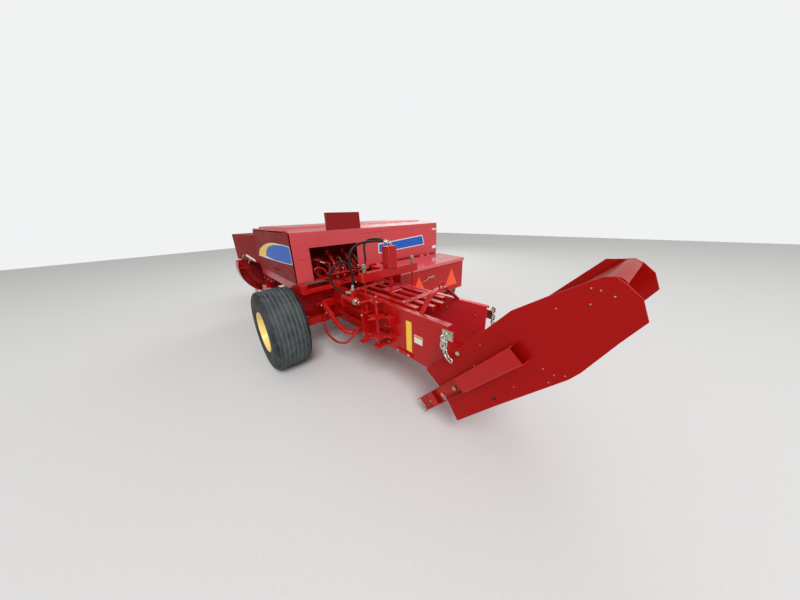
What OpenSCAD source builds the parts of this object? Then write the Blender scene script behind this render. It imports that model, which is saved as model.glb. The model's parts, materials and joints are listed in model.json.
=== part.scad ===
// Small square baler, towed, seen from its left rear with the bale chute raised.
// X points to the machine's right, Y forward to the hitch, Z up, in millimetres.
// Places are laid out from the rear end of the bale case, then moved so that the
// origin lies on the ground under the middle of the whole machine.

/* [Bale case] */
// Outer width of the bale case
case_w = 460; // [440:2:480]
// Underside of the bale case above the ground
case_z = 410; // [404:1:420]
// Height of the side walls of the bale case
case_h = 376; // [364:1:384]
// Thickness of the bale case plates
plate_t = 6; // [5:0.5:7]

/* [Hood] */
// Left side of the hood
hood_left = -578; // [-582:1:-576]
// Right side of the hood
hood_right = 1471; // [1462:1:1478]
// Top of the hood above the ground
hood_top = 1336; // [1300:2:1380]
// Thickness of the hood sheets
sheet_t = 6; // [4:0.5:7]
// Height of the upright plate on the hood
hump_h = 146; // [100:2:170]

/* [Wheels] */
// Radius of the left tyre
left_tyre_r = 400; // [392:1:402]
// Width of the left tyre
left_tyre_w = 346; // [330:1:348]
// Radius of the right tyre
right_tyre_r = 345; // [335:1:350]
// Width of the right tyre
right_tyre_w = 240; // [220:1:244]
// Distance of the axle from the rear end of the case
axle_y = 1647; // [1640:1:1660]

/* [Twine box] */
// Height of the twine box lid above the ground
lid_top = 889; // [885:1:892]
// Underside of the twine box
box_bottom = 499; // [480:1:540]
// Rear face of the twine box
box_rear = 954; // [940:2:970]

/* [Chute] */
// Angle at which the chute rises to the rear
chute_angle = 44; // [42:0.5:45]
// Length of the chute
chute_len = 1165; // [1120:5:1200]
// Depth of the chute sides at the front
chute_depth = 374; // [330:2:380]

/* [Pickup] */
// Radius of the circle of the tine tips
tine_tip_r = 260; // [240:1:262]
// Radius of the stripper bands
band_r = 195; // [185:1:200]
// Height of the reel axis above the ground
reel_z = 430; // [426:1:440]

/* [Tongue and hitch] */
// Diameter of the hitch pin hole
pin_hole_d = 27; // [20:0.5:32]
// Distance of the hitch pin from the rear end of the case
hitch_y = 4890; // [4700:10:5000]
// Diameter of the flywheel
flywheel_d = 660; // [560:5:700]

/* [Hidden] */
$fn = 64;

red = "firebrick";
dark = "darkred";
steel = "silver";
black = "dimgray";

run_fit = 0.05;
half = case_w / 2;
case_top = case_z + case_h;
wall_z = case_z + plate_t;
wall_in = half - plate_t;
case_front = 3324;
wall_rear = -30;

left_wheel_x = -766;
right_wheel_x = 1640;
gauge_out = 1880;
pivot_x = -360;
tongue_pivot_y = 3050;
hitch_r = 40;

// Outline of a chute side: share of the chute's length, and depth below its top edge
chute_y = 122;
chute_z = wall_z + 9;
left_top = [[0, 0], [0.214, -9], [0.492, -35], [0.663, -55], [0.807, -32], [0.927, -8], [0.967, 2],
    [0.988, 20], [0.996, 60]];
right_top = [[0, 0], [0.214, -9], [0.4, -20], [0.62, -13], [0.913, -38], [0.955, 0], [0.985, 24],
    [0.996, 60]];
chute_low = [[1, 0.32], [0.975, 0.51], [0.904, 0.58], [0.738, 0.765], [0.688, 0.8], [0.601, 0.826],
    [0.332, 0.9], [0.03, 1]];
function chute_outline(top) = concat([for (p = top) [p[0] * chute_len, p[1]]],
    [for (p = chute_low) [p[0] * chute_len, p[1] * chute_depth]]);
chute_rear = min([for (p = chute_outline(left_top))
    chute_y - p[0] * cos(chute_angle) - p[1] * sin(chute_angle)]);

centre_x = (left_wheel_x - left_tyre_w / 2 + gauge_out) / 2;
centre_y = (hitch_y + hitch_r + chute_rear) / 2;

module place() translate([-centre_x, -centre_y, 0]) children();

// A box given by its two limits along each axis
module block(x, y, z) translate([x[0], y[0], z[0]]) cube([x[1] - x[0], y[1] - y[0], z[1] - z[0]]);

// Round bars along an axis, or between any two points
module bar_x(r, x, y, z) translate([x[0], y, z]) rotate([0, 90, 0]) cylinder(r=r, h=x[1] - x[0]);
module bar_y(r, x, y, z) translate([x, y[0], z]) rotate([-90, 0, 0]) cylinder(r=r, h=y[1] - y[0]);
module bar_z(r, x, y, z) translate([x, y, z[0]]) cylinder(r=r, h=z[1] - z[0]);
module rod(a, b, r) {
    d = b - a;
    translate(a) rotate([0, acos(d[2] / norm(d)), atan2(d[1], d[0])]) cylinder(r=r, h=norm(d));
}

// A plate across the machine, drawn in the plane of Y and Z
module side_plate(x, points) translate([x[0], 0, 0]) rotate([90, 0, 90])
    linear_extrude(x[1] - x[0]) polygon(points);

// Feed opening in the right wall
feed_y = [1640, 2280];
feed_z = [wall_z + 20, wall_z + 350];

// Star wheels of the bale counter turn through slots in the left wall
star_x = -half - 70;
star_y = 600;
star_r = 92;
star_z = [520, 680];
star_t = 10;

module wall_slots() for (z = star_z)
    block([-half - 1, -half + 71], [star_y - star_r - 10, star_y + star_r + 10],
        [z - 8, z + star_t + 8]);

pivot_y = 65;
pivot_z = chute_z - 1;
pin_r = 8;

lip_w = 30;

module case_left_wall() color(red) difference() {
    union() {
        block([-half, -wall_in], [wall_rear, case_front], [wall_z, case_top]);
        block([-wall_in, -half + 50], [wall_rear, 1080], [case_top - plate_t, case_top]);
        bar_x(pin_r, [-half - 24, -half + 1], pivot_y, pivot_z);
    }
    wall_slots();
}

module case_right_wall() color(red) difference() {
    union() {
        block([wall_in, half], [wall_rear, case_front], [wall_z, case_top]);
        block([half, half + lip_w], [wall_rear, 940], [case_top - plate_t, case_top]);
        block([half + lip_w - plate_t, half + lip_w], [wall_rear, 940],
            [case_top - 20, case_top - plate_t]);
        bar_x(pin_r, [half - 1, half + 24], pivot_y, pivot_z);
    }
    block([wall_in - 1, half + 1], feed_y, feed_z);
}

// The two long slots let the needles through
needle_x = [-95, 95];

module case_floor() color(red) difference() {
    block([-half, half], [130, case_front], [case_z, wall_z]);
    for (x = needle_x) block([x - 15, x + 15], [1180, 1560], [case_z - 1, wall_z + 1]);
}

module case_front_plate() color(red) difference() {
    block([-480, half], [case_front, case_front + plate_t], [wall_z, case_top]);
    bar_y(fly_shaft_r + 6, fly_x, [case_front - 1, case_front + plate_t + 1], fly_z);
}

rail_x = [hood_left, hood_left + 58];
rail_z = [751, 839];
outrigger_y = [1400, 2300, 2780];
stiffener_y = [930, 1350];
stiffener_z = [500, 612];
bulkhead_y = 1740;

// Side rail under the left shield, with outriggers, a bulkhead and stiffeners on the wall
module case_frame() color(red) {
    block(rail_x, [1387, 2850], rail_z);
    for (y = outrigger_y) block([rail_x[1], -half], [y, y + 60], [rail_z[0], case_top]);
    for (z = stiffener_z) {
        block([-half - 34, -half], stiffener_y, [z, z + 6]);
        block([-half - 34, -half - 28], stiffener_y, [z + 6, z + 26]);
    }
    translate([0, bulkhead_y, 0]) rotate([90, 0, 0]) linear_extrude(6)
        polygon([[-560, rail_z[0]], [-560, 520], [-470, 400], [-330, 340], [-half, 340],
            [-half, rail_z[0]]]);
}

// Longitudinal bars that press on the bale, with their cross plates
bar_in = [-150, -50, 50, 150];
bar_end = [300, 230, 230, 300];
bar_z0 = case_top - 26;

module density_rails() color(red) {
    for (i = [0:3]) block([bar_in[i] - 22, bar_in[i] + 22], [bar_end[i], 1060], [bar_z0, case_top + 14]);
    block([-172, 172], [420, 480], [case_top + 14, case_top + 20]);
    block([-wall_in, wall_in], [1000, 1060], [case_top + 14, case_top + 20]);
    for (s = [-1, 1]) block([s > 0 ? 172 : -wall_in, s > 0 ? wall_in : -172], [1000, 1060],
        [case_top, case_top + 14]);
}

beam_y = [745, 815];
beam_z = [930, 1004];
stud_x = 270;
stud_r = 9;

module density_beam() color(red) difference() {
    block([-310, 310], beam_y, beam_z);
    for (s = [-1, 1]) bar_z(stud_r + run_fit, s * stud_x, 780, [beam_z[0] - 1, beam_z[1] + 1]);
    bar_z(16 + run_fit, 0, 780, [beam_z[0] - 1, beam_z[1] + 1]);
}

tower_top = 1190;
port_table = [
    // x, y and z of the ball, its radius
    [0, 769, 1211.5, 14],
    [35, 799, 1211.5, 12]];

// The cylinder stands on the beam and its rod reaches the density bars, with two ports on its top
module density_cylinder() color(red) {
    block([-45, 45], [735, 825], [beam_z[1], tower_top]);
    for (p = port_table) {
        bar_z(p[3] - 3, p[0], p[1], [tower_top - 1, p[2]]);
        translate([p[0], p[1], p[2]]) sphere(r=p[3]);
    }
    bar_z(16, 0, 780, [case_top + 32, beam_z[1]]);
    block([-80, 80], [745, 815], [case_top + 20, case_top + 32]);
    block([-72, 72], [700, 860], [case_top + 14, case_top + 20]);
}

// Plated studs tie the beam's ends down to the walls, with springs under their nuts
module density_studs() color(steel) for (s = [-1, 1]) {
    bar_z(stud_r, s * stud_x, 780, [660, 1075]);
    bar_z(17, s * stud_x, 780, [beam_z[1], 1050]);
    bar_z(14, s * stud_x, 780, [1050, 1064]);
    block([s > 0 ? half : -stud_x - 14, s > 0 ? stud_x + 14 : -half], [762, 798], [640, 660]);
}

// Strap that holds the hay down at the end of the case
module hay_arch() color(red) {
    translate([0, 250, 0]) rotate([90, 0, 0]) linear_extrude(40)
        polygon([[-196, case_top], [-182, case_top], [-86, 890], [-16, 915], [60, 915], [120, 868],
            [wall_in, case_top], [half, case_top], [half, case_top + 10], [130, 880], [66, 927],
            [-20, 927], [-94, 902]]);
    translate([20, 226, 945]) rotate([90, 0, 0]) rotate_extrude() translate([24, 0]) circle(r=6, $fn=24);
}

table_y = [1340, 1850];
table_z = case_top + 10;

module knotter_table() color(red) difference() {
    block([-half, half], table_y, [case_top, table_z]);
    for (x = needle_x) block([x - 15, x + 15], [1400, 1560], [case_top - 1, table_z + 1]);
}

shaft_y = 1740;
shaft_z = 1010;
shaft_r = 18;
cam_r = 105;

// One knotter: cast frame on the shaft, twine discs, worm shaft, bill hook, tucker and knife arm
module knotter(x) {
    difference() {
        side_plate([x - 9, x + 9], [[1640, table_z], [1820, table_z], [1812, 860], [1782, shaft_z + 40],
            [1700, shaft_z + 40], [1600, 930], [1530, 924], [1530, 896], [1630, 880]]);
        bar_x(shaft_r + run_fit, [x - 20, x + 20], shaft_y, shaft_z);
    }
    bar_x(22, [x + 5, x + 52], 1580, 890);
    for (d = [26, 36, 46]) bar_x(42, [x + d, x + d + 4], 1580, 890);
    bar_y(11, x + 17, [1590, 1680], 946);
    bar_y(17, x + 17, [1612, 1650], 946);
    rod([x, 1640, 905], [x - 36, 1530, 850], 9);
    bar_z(7, x - 36, 1530, [812, 850]);
    side_plate([x - 15, x - 5], [[1650, 960], [1690, 1000], [1560, 985], [1520, 930], [1512, 880],
        [1526, 880], [1546, 930], [1580, 960]]);
}

module knotters() color(red) for (x = needle_x) knotter(x);

// Shaft with its cam gears, drive sprocket and trip clutch
module knotter_shaft() color(dark) {
    bar_x(shaft_r, [-400, 200], shaft_y, shaft_z);
    for (x = needle_x) difference() {
        bar_x(cam_r, [x - 42, x - 20], shaft_y, shaft_z);
        bar_x(cam_r - 21, [x - 43, x - 32], shaft_y, shaft_z);
        translate([x - 43, shaft_y, shaft_z]) rotate([-40, 0, 0])
            block([0, 24], [cam_r - 14, cam_r + 5], [-30, 30]);
    }
    bar_x(120, [-380, -366], shaft_y, shaft_z);
    for (a = [0:20:340]) translate([-380, shaft_y, shaft_z]) rotate([a, 0, 0])
        translate([0, -5, 118]) cube([14, 10, 12]);
    bar_x(60, [-366, -330], shaft_y, shaft_z);
    bar_x(40, [-330, -260], shaft_y, shaft_z);
    block([-260, -half], [shaft_y - 20, shaft_y + 20], [case_top, shaft_z - 30]);
    block([-260, -half], [shaft_y - 40, shaft_y + 40], [shaft_z - 30, shaft_z + 30]);
}

deck_z = [hood_top - sheet_t, hood_top];
hood_y = [1492, 2863];
deck_slope = 1700;
deck_drop = 22;
deck_rear = deck_z[0] - deck_drop;
frame_top = deck_rear;
post = 40;
post_table = [
    // x, y, underside
    [hood_left + 12, hood_y[0] + 8, rail_z[1]],
    [hood_left + 12, hood_y[1] - 54, rail_z[1]],
    [hood_right - sheet_t - post - 2, 1700, wall_z],
    [hood_right - sheet_t - post - 2, 2240, wall_z]];

module hood_frame() color(dark) {
    for (p = post_table) block([p[0], p[0] + post], [p[1], p[1] + post], [p[2], frame_top]);
    for (y = [hood_y[0] + 8, hood_y[1] - 54])
        block([hood_left + 12, hood_right - sheet_t - 2], [y, y + post], [frame_top - post, frame_top]);
    block([hood_right - sheet_t - post - 2, hood_right - sheet_t - 2], [hood_y[0] + 8, hood_y[1] - 14],
        [frame_top - post, frame_top]);
}

// The shield hangs on a pin along the deck's left edge
door_axis_x = hood_left - 3;
door_axis_z = hood_top - 6;
knuckle_r = 9;
door_pin_r = 4;
raised_h = 22;
deck_knuckles = [[1520, 1560], [2150, 2190], [2780, 2820]];
door_knuckles = [[1562, 1602], [2192, 2232], [2738, 2778]];

// Deck sheet with its rear strip bent down, and a raised panel
module hood_deck() color(red) {
    side_plate([hood_left + 9, hood_right], [[hood_y[0], deck_rear], [hood_y[0], deck_rear + sheet_t],
        [deck_slope, deck_z[1]], [hood_y[1], deck_z[1]], [hood_y[1], deck_z[0]], [deck_slope, deck_z[0]]]);
    side_plate([hood_left + 70, hood_right - 60], [[1760, hood_top], [1800, hood_top + raised_h],
        [2830, hood_top + raised_h], [2850, hood_top]]);
    for (y = deck_knuckles) {
        bar_y(knuckle_r, door_axis_x, y, door_axis_z);
        block([door_axis_x, hood_left + 10], y, [door_axis_z - 3, door_axis_z + 3]);
    }
    bar_y(door_pin_r, door_axis_x, [deck_knuckles[0][0], deck_knuckles[2][1]], door_axis_z);
}

opening_x = [-421, 122];
opening_z = [856, 1171];

module hood_rear_panel() color(red) difference() {
    block([hood_left + 9, hood_right], [hood_y[0], hood_y[0] + sheet_t], [rail_z[1], deck_rear]);
    block(opening_x, [hood_y[0] - 1, hood_y[0] + sheet_t + 1], opening_z);
    block([-421, 260], [hood_y[0] - 1, hood_y[0] + sheet_t + 1], [rail_z[1] - 1, opening_z[0] + 1]);
    block([260, hood_right + 1], [hood_y[0] - 1, hood_y[0] + sheet_t + 1], [rail_z[1] - 1, lid_top + 12]);
}

partition_x = [half - 8, half - 2];

// Front sheet, lower on the left, with the partition between the knotters and the feeder
module hood_front_panel() color(red) {
    block([hood_left + 9, hood_right], [hood_y[1] - sheet_t, hood_y[1]], [1000, deck_z[0]]);
    block([hood_left + 9, partition_x[1]], [hood_y[1] - sheet_t, hood_y[1]], [case_top + 4, 1001]);
    block(partition_x, [hood_y[0] + 10, hood_y[1] - sheet_t + 1], [table_z + 2, frame_top - post - 2]);
}

module hood_right_panel() color(red)
    side_plate([hood_right - sheet_t, hood_right], [
        [hood_y[0] + sheet_t, lid_top], [hood_y[1] - sheet_t, lid_top],
        [hood_y[1] - sheet_t, deck_z[0]], [deck_slope, deck_z[0]],
        [hood_y[0] + sheet_t, deck_rear]]);

// Upright cover plate with turned edges, standing on the bent strip
upright_foot = deck_rear + sheet_t + 1.6;

module hood_upright() color(red) {
    translate([0, 1506, 0]) rotate([90, 0, 0]) linear_extrude(sheet_t)
        polygon([[-204, upright_foot], [196, upright_foot], [194, hood_top + hump_h], [-188, hood_top + hump_h]]);
    block([-188, 194], [1506, 1540], [hood_top + hump_h - sheet_t, hood_top + hump_h]);
    for (x = [-180, 182]) block([x, x + sheet_t], [1506, 1560], [hood_top - 13, hood_top + hump_h - sheet_t]);
}

shield_left = -716;
shield_right = 140;
shield_front = 3650;
shield_z = [885, 1255];
shield_plan = [[hood_left - 6, hood_y[1] + 6], [shield_left, shield_front],
    [shield_left + sheet_t, shield_front], [hood_left, hood_y[1] + 6]];

module front_shield() color(red) {
    translate([0, 0, shield_z[0]]) linear_extrude(shield_z[1] - shield_z[0]) polygon(shield_plan);
    translate([0, 0, shield_z[1] - sheet_t]) linear_extrude(sheet_t)
        polygon([[hood_left, hood_y[1]], [hood_left, hood_y[1] + 6], [shield_left + sheet_t, shield_front],
            [shield_right, shield_front], [shield_right, hood_y[1]]]);
    block([shield_right - sheet_t, shield_right], [hood_y[1], shield_front], [1060, shield_z[1] - sheet_t]);
}

module left_shield() color(red) {
    block([hood_left - sheet_t, hood_left], [hood_y[0] + 2, hood_y[1] - 3], [rail_z[1] + 6, hood_top - 20]);
    for (y = door_knuckles) difference() {
        union() {
            bar_y(knuckle_r, door_axis_x, y, door_axis_z);
            block([hood_left - sheet_t, hood_left], y, [hood_top - 21, door_axis_z]);
        }
        bar_y(door_pin_r + run_fit, door_axis_x, [y[0] - 1, y[1] + 1], door_axis_z);
    }
}

fly_x = pivot_x;
fly_z = 760;
fly_y = [3400, 3460];
fly_shaft_r = 25;
fly_shaft_y = [3240, 3600];
guard_r = 420;
guard_y = [3350, 3560];

// Round cover, open to the rear, cut away above and over the tongue
module flywheel_guard() color(red) {
    difference() {
        bar_y(guard_r, fly_x, guard_y, fly_z);
        bar_y(guard_r - sheet_t, fly_x, [guard_y[0] - 1, guard_y[1] - sheet_t], fly_z);
        bar_y(60, fly_x, [guard_y[0] - 1, guard_y[1] + 1], fly_z);
        block([fly_x - guard_r - 1, fly_x + guard_r + 1], [guard_y[0] - 1, guard_y[1] + 1], [876, 1300]);
        block([-492, 140], [guard_y[0] - 1, guard_y[1] + 1], [300, 430]);
    }
    block([fly_x + 370, half], [case_front + plate_t, guard_y[0]], [560, 700]);
    block([-480, -440], [case_front + plate_t, guard_y[0]], [case_top - 6, case_top]);
    block([-780, -440], [guard_y[0] - 14, guard_y[0]], [case_top - 6, case_top]);
}

module flywheel() color(dark) {
    difference() {
        bar_y(flywheel_d / 2, fly_x, fly_y, fly_z);
        bar_y(flywheel_d / 2 - 70, fly_x, [fly_y[0] - 1, fly_y[0] + 20], fly_z);
        bar_y(flywheel_d / 2 - 70, fly_x, [fly_y[1] - 20, fly_y[1] + 1], fly_z);
    }
    bar_y(55, fly_x, [fly_y[0] - 20, fly_y[1] + 30], fly_z);
    bar_y(fly_shaft_r, fly_x, fly_shaft_y, fly_z);
}

gear_x = -480;
gear_y = [2900, 3300];
gear_z = [580, 940];
cap_y = [gear_y[0], 3240];

// Gear case beside the bale case, with its crank housing across the case
module gearbox() color(dark) difference() {
    union() {
        block([gear_x, -half], gear_y, gear_z);
        bar_y(90, fly_x, [gear_y[1], case_front], fly_z);
        block([gear_x, half], cap_y, [gear_z[1], gear_z[1] + 70]);
        bar_x(70, [-100, 100], 3060, gear_z[1] + 60);
    }
    bar_y(fly_shaft_r + run_fit, fly_x, [fly_shaft_y[0] - 40, case_front + plate_t], fly_z);
    block([-half - 1, half + 1], [cap_y[0] - 1, cap_y[1] + 1], [gear_z[1] - 40, gear_z[1]]);
}

feeder_right = hood_right;
lift_lugs = [half + 20, 850, hood_right - 12];

module feeder_floor() color(red) {
    block([half, feeder_right], [1620, 2300], [case_z, wall_z]);
    block([half, feeder_right], [2294, 2300], [lift_z - 20, case_z]);
    bar_x(lift_r, [half + 20, gauge_out - 94], lift_y, lift_z);
    for (x = lift_lugs) block([x, x + 12], [2300, lift_y], [lift_z - 20, lift_z + 20]);
}

module feeder_walls() color(red) {
    block([half, feeder_right - sheet_t], [1620, 1620 + sheet_t], [wall_z, 980]);
    block([feeder_right - sheet_t, feeder_right], [1620, 2300], [wall_z, lid_top]);
}

box_x = [274, 1366];
box_front = 1480;
box_plan = [[box_x[0], box_rear], [box_x[1], box_rear], [hood_right, box_front], [box_x[0], box_front]];
lid_axis_y = box_front - 2;
lid_axis_z = lid_top + 4;

module twine_box() color(red) {
    difference() {
        translate([0, 0, box_bottom]) linear_extrude(lid_top - 12 - box_bottom) polygon(box_plan);
        translate([0, 0, box_bottom + sheet_t]) linear_extrude(500) offset(delta=-sheet_t) polygon(box_plan);
    }
    block([half + 32, box_x[0]], [1000, 1400], [600, 606]);
    block([half, half + 32], [1000, 1400], [560, 606]);
    for (x = [400, 1200]) block([x, x + 40], [box_front, 1620], [box_bottom, box_bottom + 40]);
    for (x = [420, 1180]) difference() {
        union() {
            block([x, x + 60], [box_front, box_front + 10], [820, lid_axis_z]);
            bar_x(9, [x, x + 60], lid_axis_y + 3, lid_axis_z + 3);
        }
        bar_x(5 + run_fit, [x - 1, x + 61], lid_axis_y + 3, lid_axis_z + 3);
    }
}

lid_plan = [[box_x[0] - 4, box_rear - 6], [box_x[1] + 6, box_rear - 6], [hood_right + 4, box_front - 30],
    [box_x[0] - 4, box_front - 30]];

module twine_box_lid() color(red) {
    translate([0, 0, lid_top - 6]) linear_extrude(6) polygon(lid_plan);
    block([box_x[0] - 4, box_x[1] + 6], [box_rear - 12, box_rear - 6], [lid_top - 36, lid_top]);
    for (x = [[360, 412], [488, 540], [1120, 1172], [1248, 1300]]) {
        block(x, [box_front - 32, lid_axis_y + 3], [lid_top - 6, lid_top]);
        block([x[0], x[1]], [lid_axis_y - 6, lid_axis_y + 12], [lid_top, lid_top + 14]);
    }
    for (x = [[360, 540], [1120, 1300]]) bar_x(5, x, lid_axis_y + 3, lid_axis_z + 3);
}

reflector_x = [540, 1125];

module reflectors() color("orangered") for (x = reflector_x)
    translate([x, box_rear, 0]) rotate([90, 0, 0]) linear_extrude(3)
        polygon([[-135, 560], [135, 560], [0, 800]]);

beam = 80;
axle_top = case_z;
left_spindle_r = 30;
right_spindle_r = 26;

module axle() color(red) {
    block([-570, 1490], [axle_y - beam / 2, axle_y + beam / 2], [axle_top - beam, axle_top]);
    bar_x(left_spindle_r, [left_wheel_x - 40, -560], axle_y, left_tyre_r);
    bar_x(right_spindle_r, [1480, right_wheel_x + 40], axle_y, right_tyre_r);
    block([-570, -550], [axle_y - 60, axle_y + 60], [axle_top - beam, left_tyre_r + 60]);
    block([1478, 1490], [axle_y - 60, axle_y + 60], [right_tyre_r - 60, axle_top]);
}

rib_count = 7;
groove_w = 9;
groove_d = 10;

// Half outline of a tyre: share of the width, share of the height of the section
tyre_wall = [[0.39, 0], [0.44, 0.06], [0.485, 0.25], [0.5, 0.5], [0.49, 0.72], [0.455, 0.88], [0.4, 0.96]];

function tread(r, w) = let(step = w * 0.76 / rib_count)
    [for (i = [1:rib_count - 1], k = [0:3]) let(x = -w * 0.38 + i * step)
        [(k == 0 || k == 3) ? r : r - groove_d, x + (k < 2 ? -groove_w / 2 : groove_w / 2)]];

module tyre(x, r, w, rim_r) translate([x, axle_y, r]) rotate([0, 90, 0]) rotate_extrude($fn=96)
    polygon(concat([for (p = tyre_wall) [rim_r + p[1] * (r - rim_r), -p[0] * w]],
        [[r, -w * 0.38]], tread(r, w), [[r, w * 0.38]],
        [for (i = [len(tyre_wall) - 1:-1:0]) [rim_r + tyre_wall[i][1] * (r - rim_r), tyre_wall[i][0] * w]]));

// Rim: barrel with flanges, a dished disc near its outer side, and the hub
module rim(x, r, w, bore_r, side) translate([x, axle_y, r]) rotate([0, 90 * side, 0]) {
    bw = w * 0.39;
    rotate_extrude($fn=96) polygon([[rim_r - 14, -bw - 6], [rim_r, -bw - 6], [rim_r, bw + 6],
        [rim_r - 14, bw + 6], [rim_r - 26, bw - 30], [rim_r - 26, -bw + 30]]);
    dish = bw - 58;
    rotate_extrude() polygon([[70, dish + 20], [110, dish + 20], [rim_r - 25, dish - 12],
        [rim_r - 25, dish - 24], [106, dish + 8], [70, dish + 8]]);
    rotate_extrude() polygon([[bore_r + run_fit, -70], [bore_r + 24, -70], [bore_r + 24, dish + 8],
        [72, dish + 8], [72, dish + 20], [0, dish + 20], [0, dish + 8], [bore_r + run_fit, dish + 8]]);
}

rim_r = 204;

module left_tyre() color(black) tyre(left_wheel_x, left_tyre_r, left_tyre_w, rim_r);
module left_rim() color("gold") rim(left_wheel_x, left_tyre_r, left_tyre_w, left_spindle_r, -1);
module right_tyre() color(black) tyre(right_wheel_x, right_tyre_r, right_tyre_w, rim_r);
module right_rim() color("gold") rim(right_wheel_x, right_tyre_r, right_tyre_w, right_spindle_r, 1);

pump_x = -half - 130;
pump_z = 778;
pump_y = [800, 990];
bearing_z = [[425, 437], [806, 818]];

// Brackets on the left wall: bearings of the counter shaft, pump cylinder, stand-off plate and stubs
module side_mechanism() color(red) {
    difference() {
        for (z = bearing_z) block([-half - 110, -half], [560, 640], z);
        bar_z(14 + run_fit, star_x, star_y, [380, 860]);
    }
    // Pump cylinder with its port block, held by a plate at its front and a tube at its rear
    block([pump_x - 34, -half], [pump_y[1] - 12, pump_y[1]], [case_top - 96, case_top - 4]);
    bar_y(30, pump_x, pump_y, pump_z);
    bar_y(22, pump_x, [pump_y[0] - 26, pump_y[0]], pump_z);
    bar_y(14, pump_x, [pump_y[0] - 50, pump_y[0] - 26], pump_z);
    bar_x(12, [pump_x, -half], pump_y[0] - 44, pump_z - 8);
    block([pump_x - 12, pump_x + 22], [830, 866], [pump_z + 22, pump_z + 84]);
    // Stand-off plate with its foot, and the lower tube
    block([-half - 84, -half], [806, 812], [376, 690]);
    block([-half - 96, -half], [812, 872], [368, 376]);
    bar_x(11, [-half - 96, -half], 748, 676);
    // Channel stubs and the bolted bracket at the bottom of the wall
    block([-half - 58, -half], [468, 474], [626, 700]);
    for (z = [626, 694]) block([-half - 58, -half], [474, 536], [z, z + 6]);
    block([-half - 50, -half], [455, 530], [534, 546]);
    block([-half - 16, -half], [280, 460], [430, 445]);
}

yoke_x = -half - 110;
yoke_r = 24;
yoke_path = [[yoke_x, 1400, 530], [yoke_x, 1300, 455], [yoke_x + 5, 1200, 404], [yoke_x + 20, 1120, 376],
    [yoke_x + 60, 1080, 364], [-half, 1070, 362], [half + 40, 1070, 362]];
needle_path = [[1070, 362, 14], [1180, 300, 12], [1300, 300, 10], [1390, 352, 8]];
guard_path = [[-half - 88, 1585, 430], [-half - 120, 1560, 257], [-half - 120, 1440, 204],
    [-half - 120, 1264, 208], [-half - 120, 1079, 273], [-half - 118, 960, 380], [-half - 60, 920, 470]];
guard_rod_r = 8;

// Bent bar through a list of points, with rounded corners
module bent_bar(path, r) {
    for (i = [0:len(path) - 2]) rod(path[i], path[i + 1], r);
    for (i = [1:len(path) - 2]) translate(path[i]) sphere(r=r + 1);
}

// Thick bent arm under the case that carries the needles, with its clamp
module needle_yoke() color(red) difference() {
    union() {
        bent_bar(yoke_path, yoke_r);
        rod([yoke_x, 1560, 596], [yoke_x, 1340, 484], 33);
        block([yoke_x - 20, -half], [1480, 1540], [540, 620]);
        bar_x(12, [yoke_x - 70, yoke_x], 1530, 582);
        for (x = needle_x, i = [0:2]) {
            rod([x, needle_path[i][0], needle_path[i][1]], [x, needle_path[i + 1][0], needle_path[i + 1][1]],
                needle_path[i][2]);
            translate([x, needle_path[i][0], needle_path[i][1]]) sphere(r=needle_path[i][2] + 1);
        }
    }
    block([-half, 0], [880, 1700], [case_z - 4, 700]);
}

// Bent rod round the needle arm, held to the wall at both ends
module needle_guard() color(red) difference() {
    union() {
        bent_bar(guard_path, guard_rod_r);
        block([-half - 100, -half], [1568, 1602], [420, 440]);
        block([-half - 70, -half], [905, 935], [462, 478]);
    }
    block([-half, 0], [880, 1700], [case_z - 4, 700]);
}

// Star wheels on an upright shaft, which the passing bale turns
module metering_star() color(red) {
    bar_z(14, star_x, star_y, [412, 852]);
    bar_z(30, star_x, star_y, [819, 832]);
    for (z = star_z) {
        bar_z(55, star_x, star_y, [z, z + star_t]);
        for (a = [0:60:300]) translate([star_x, star_y, z]) rotate([0, 0, a])
            linear_extrude(star_t) polygon([[40, -22], [star_r, 0], [40, 22]]);
    }
}

// Sweep of a round hose along points, with a ring of sides at each
function ring(p, t, r, n) = let(
        u = abs(t[2]) > 0.9 ? [1, 0, 0] : [0, 0, 1],
        a = cross(t, u) / norm(cross(t, u)),
        b = cross(t, a))
    [for (i = [0:n - 1]) p + r * (cos(360 * i / n) * a + sin(360 * i / n) * b)];
function bend(p, k) = [for (i = [0:len(p) - 2], j = [0:k - 1]) let(
        a = p[max(i - 1, 0)], b = p[i], c = p[i + 1], d = p[min(i + 2, len(p) - 1)], t = j / k)
    0.5 * ((2 * b) + (c - a) * t + (2 * a - 5 * b + 4 * c - d) * t * t
        + (3 * b - a - 3 * c + d) * t * t * t)];
module hose(route, r, n=8, k=6) {
    p = concat(bend(route, k), [route[len(route) - 1]]);
    m = len(p);
    t = [for (i = [0:m - 1]) let(d = p[min(i + 1, m - 1)] - p[max(i - 1, 0)]) d / norm(d)];
    polyhedron([for (i = [0:m - 1]) each ring(p[i], t[i], r, n)],
        concat([[for (i = [0:n - 1]) i]], [[for (i = [n - 1:-1:0]) (m - 1) * n + i]],
            [for (i = [0:m - 2], j = [0:n - 1]) [i * n + j, (i + 1) * n + j,
                (i + 1) * n + (j + 1) % n, i * n + (j + 1) % n]]));
}

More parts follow.
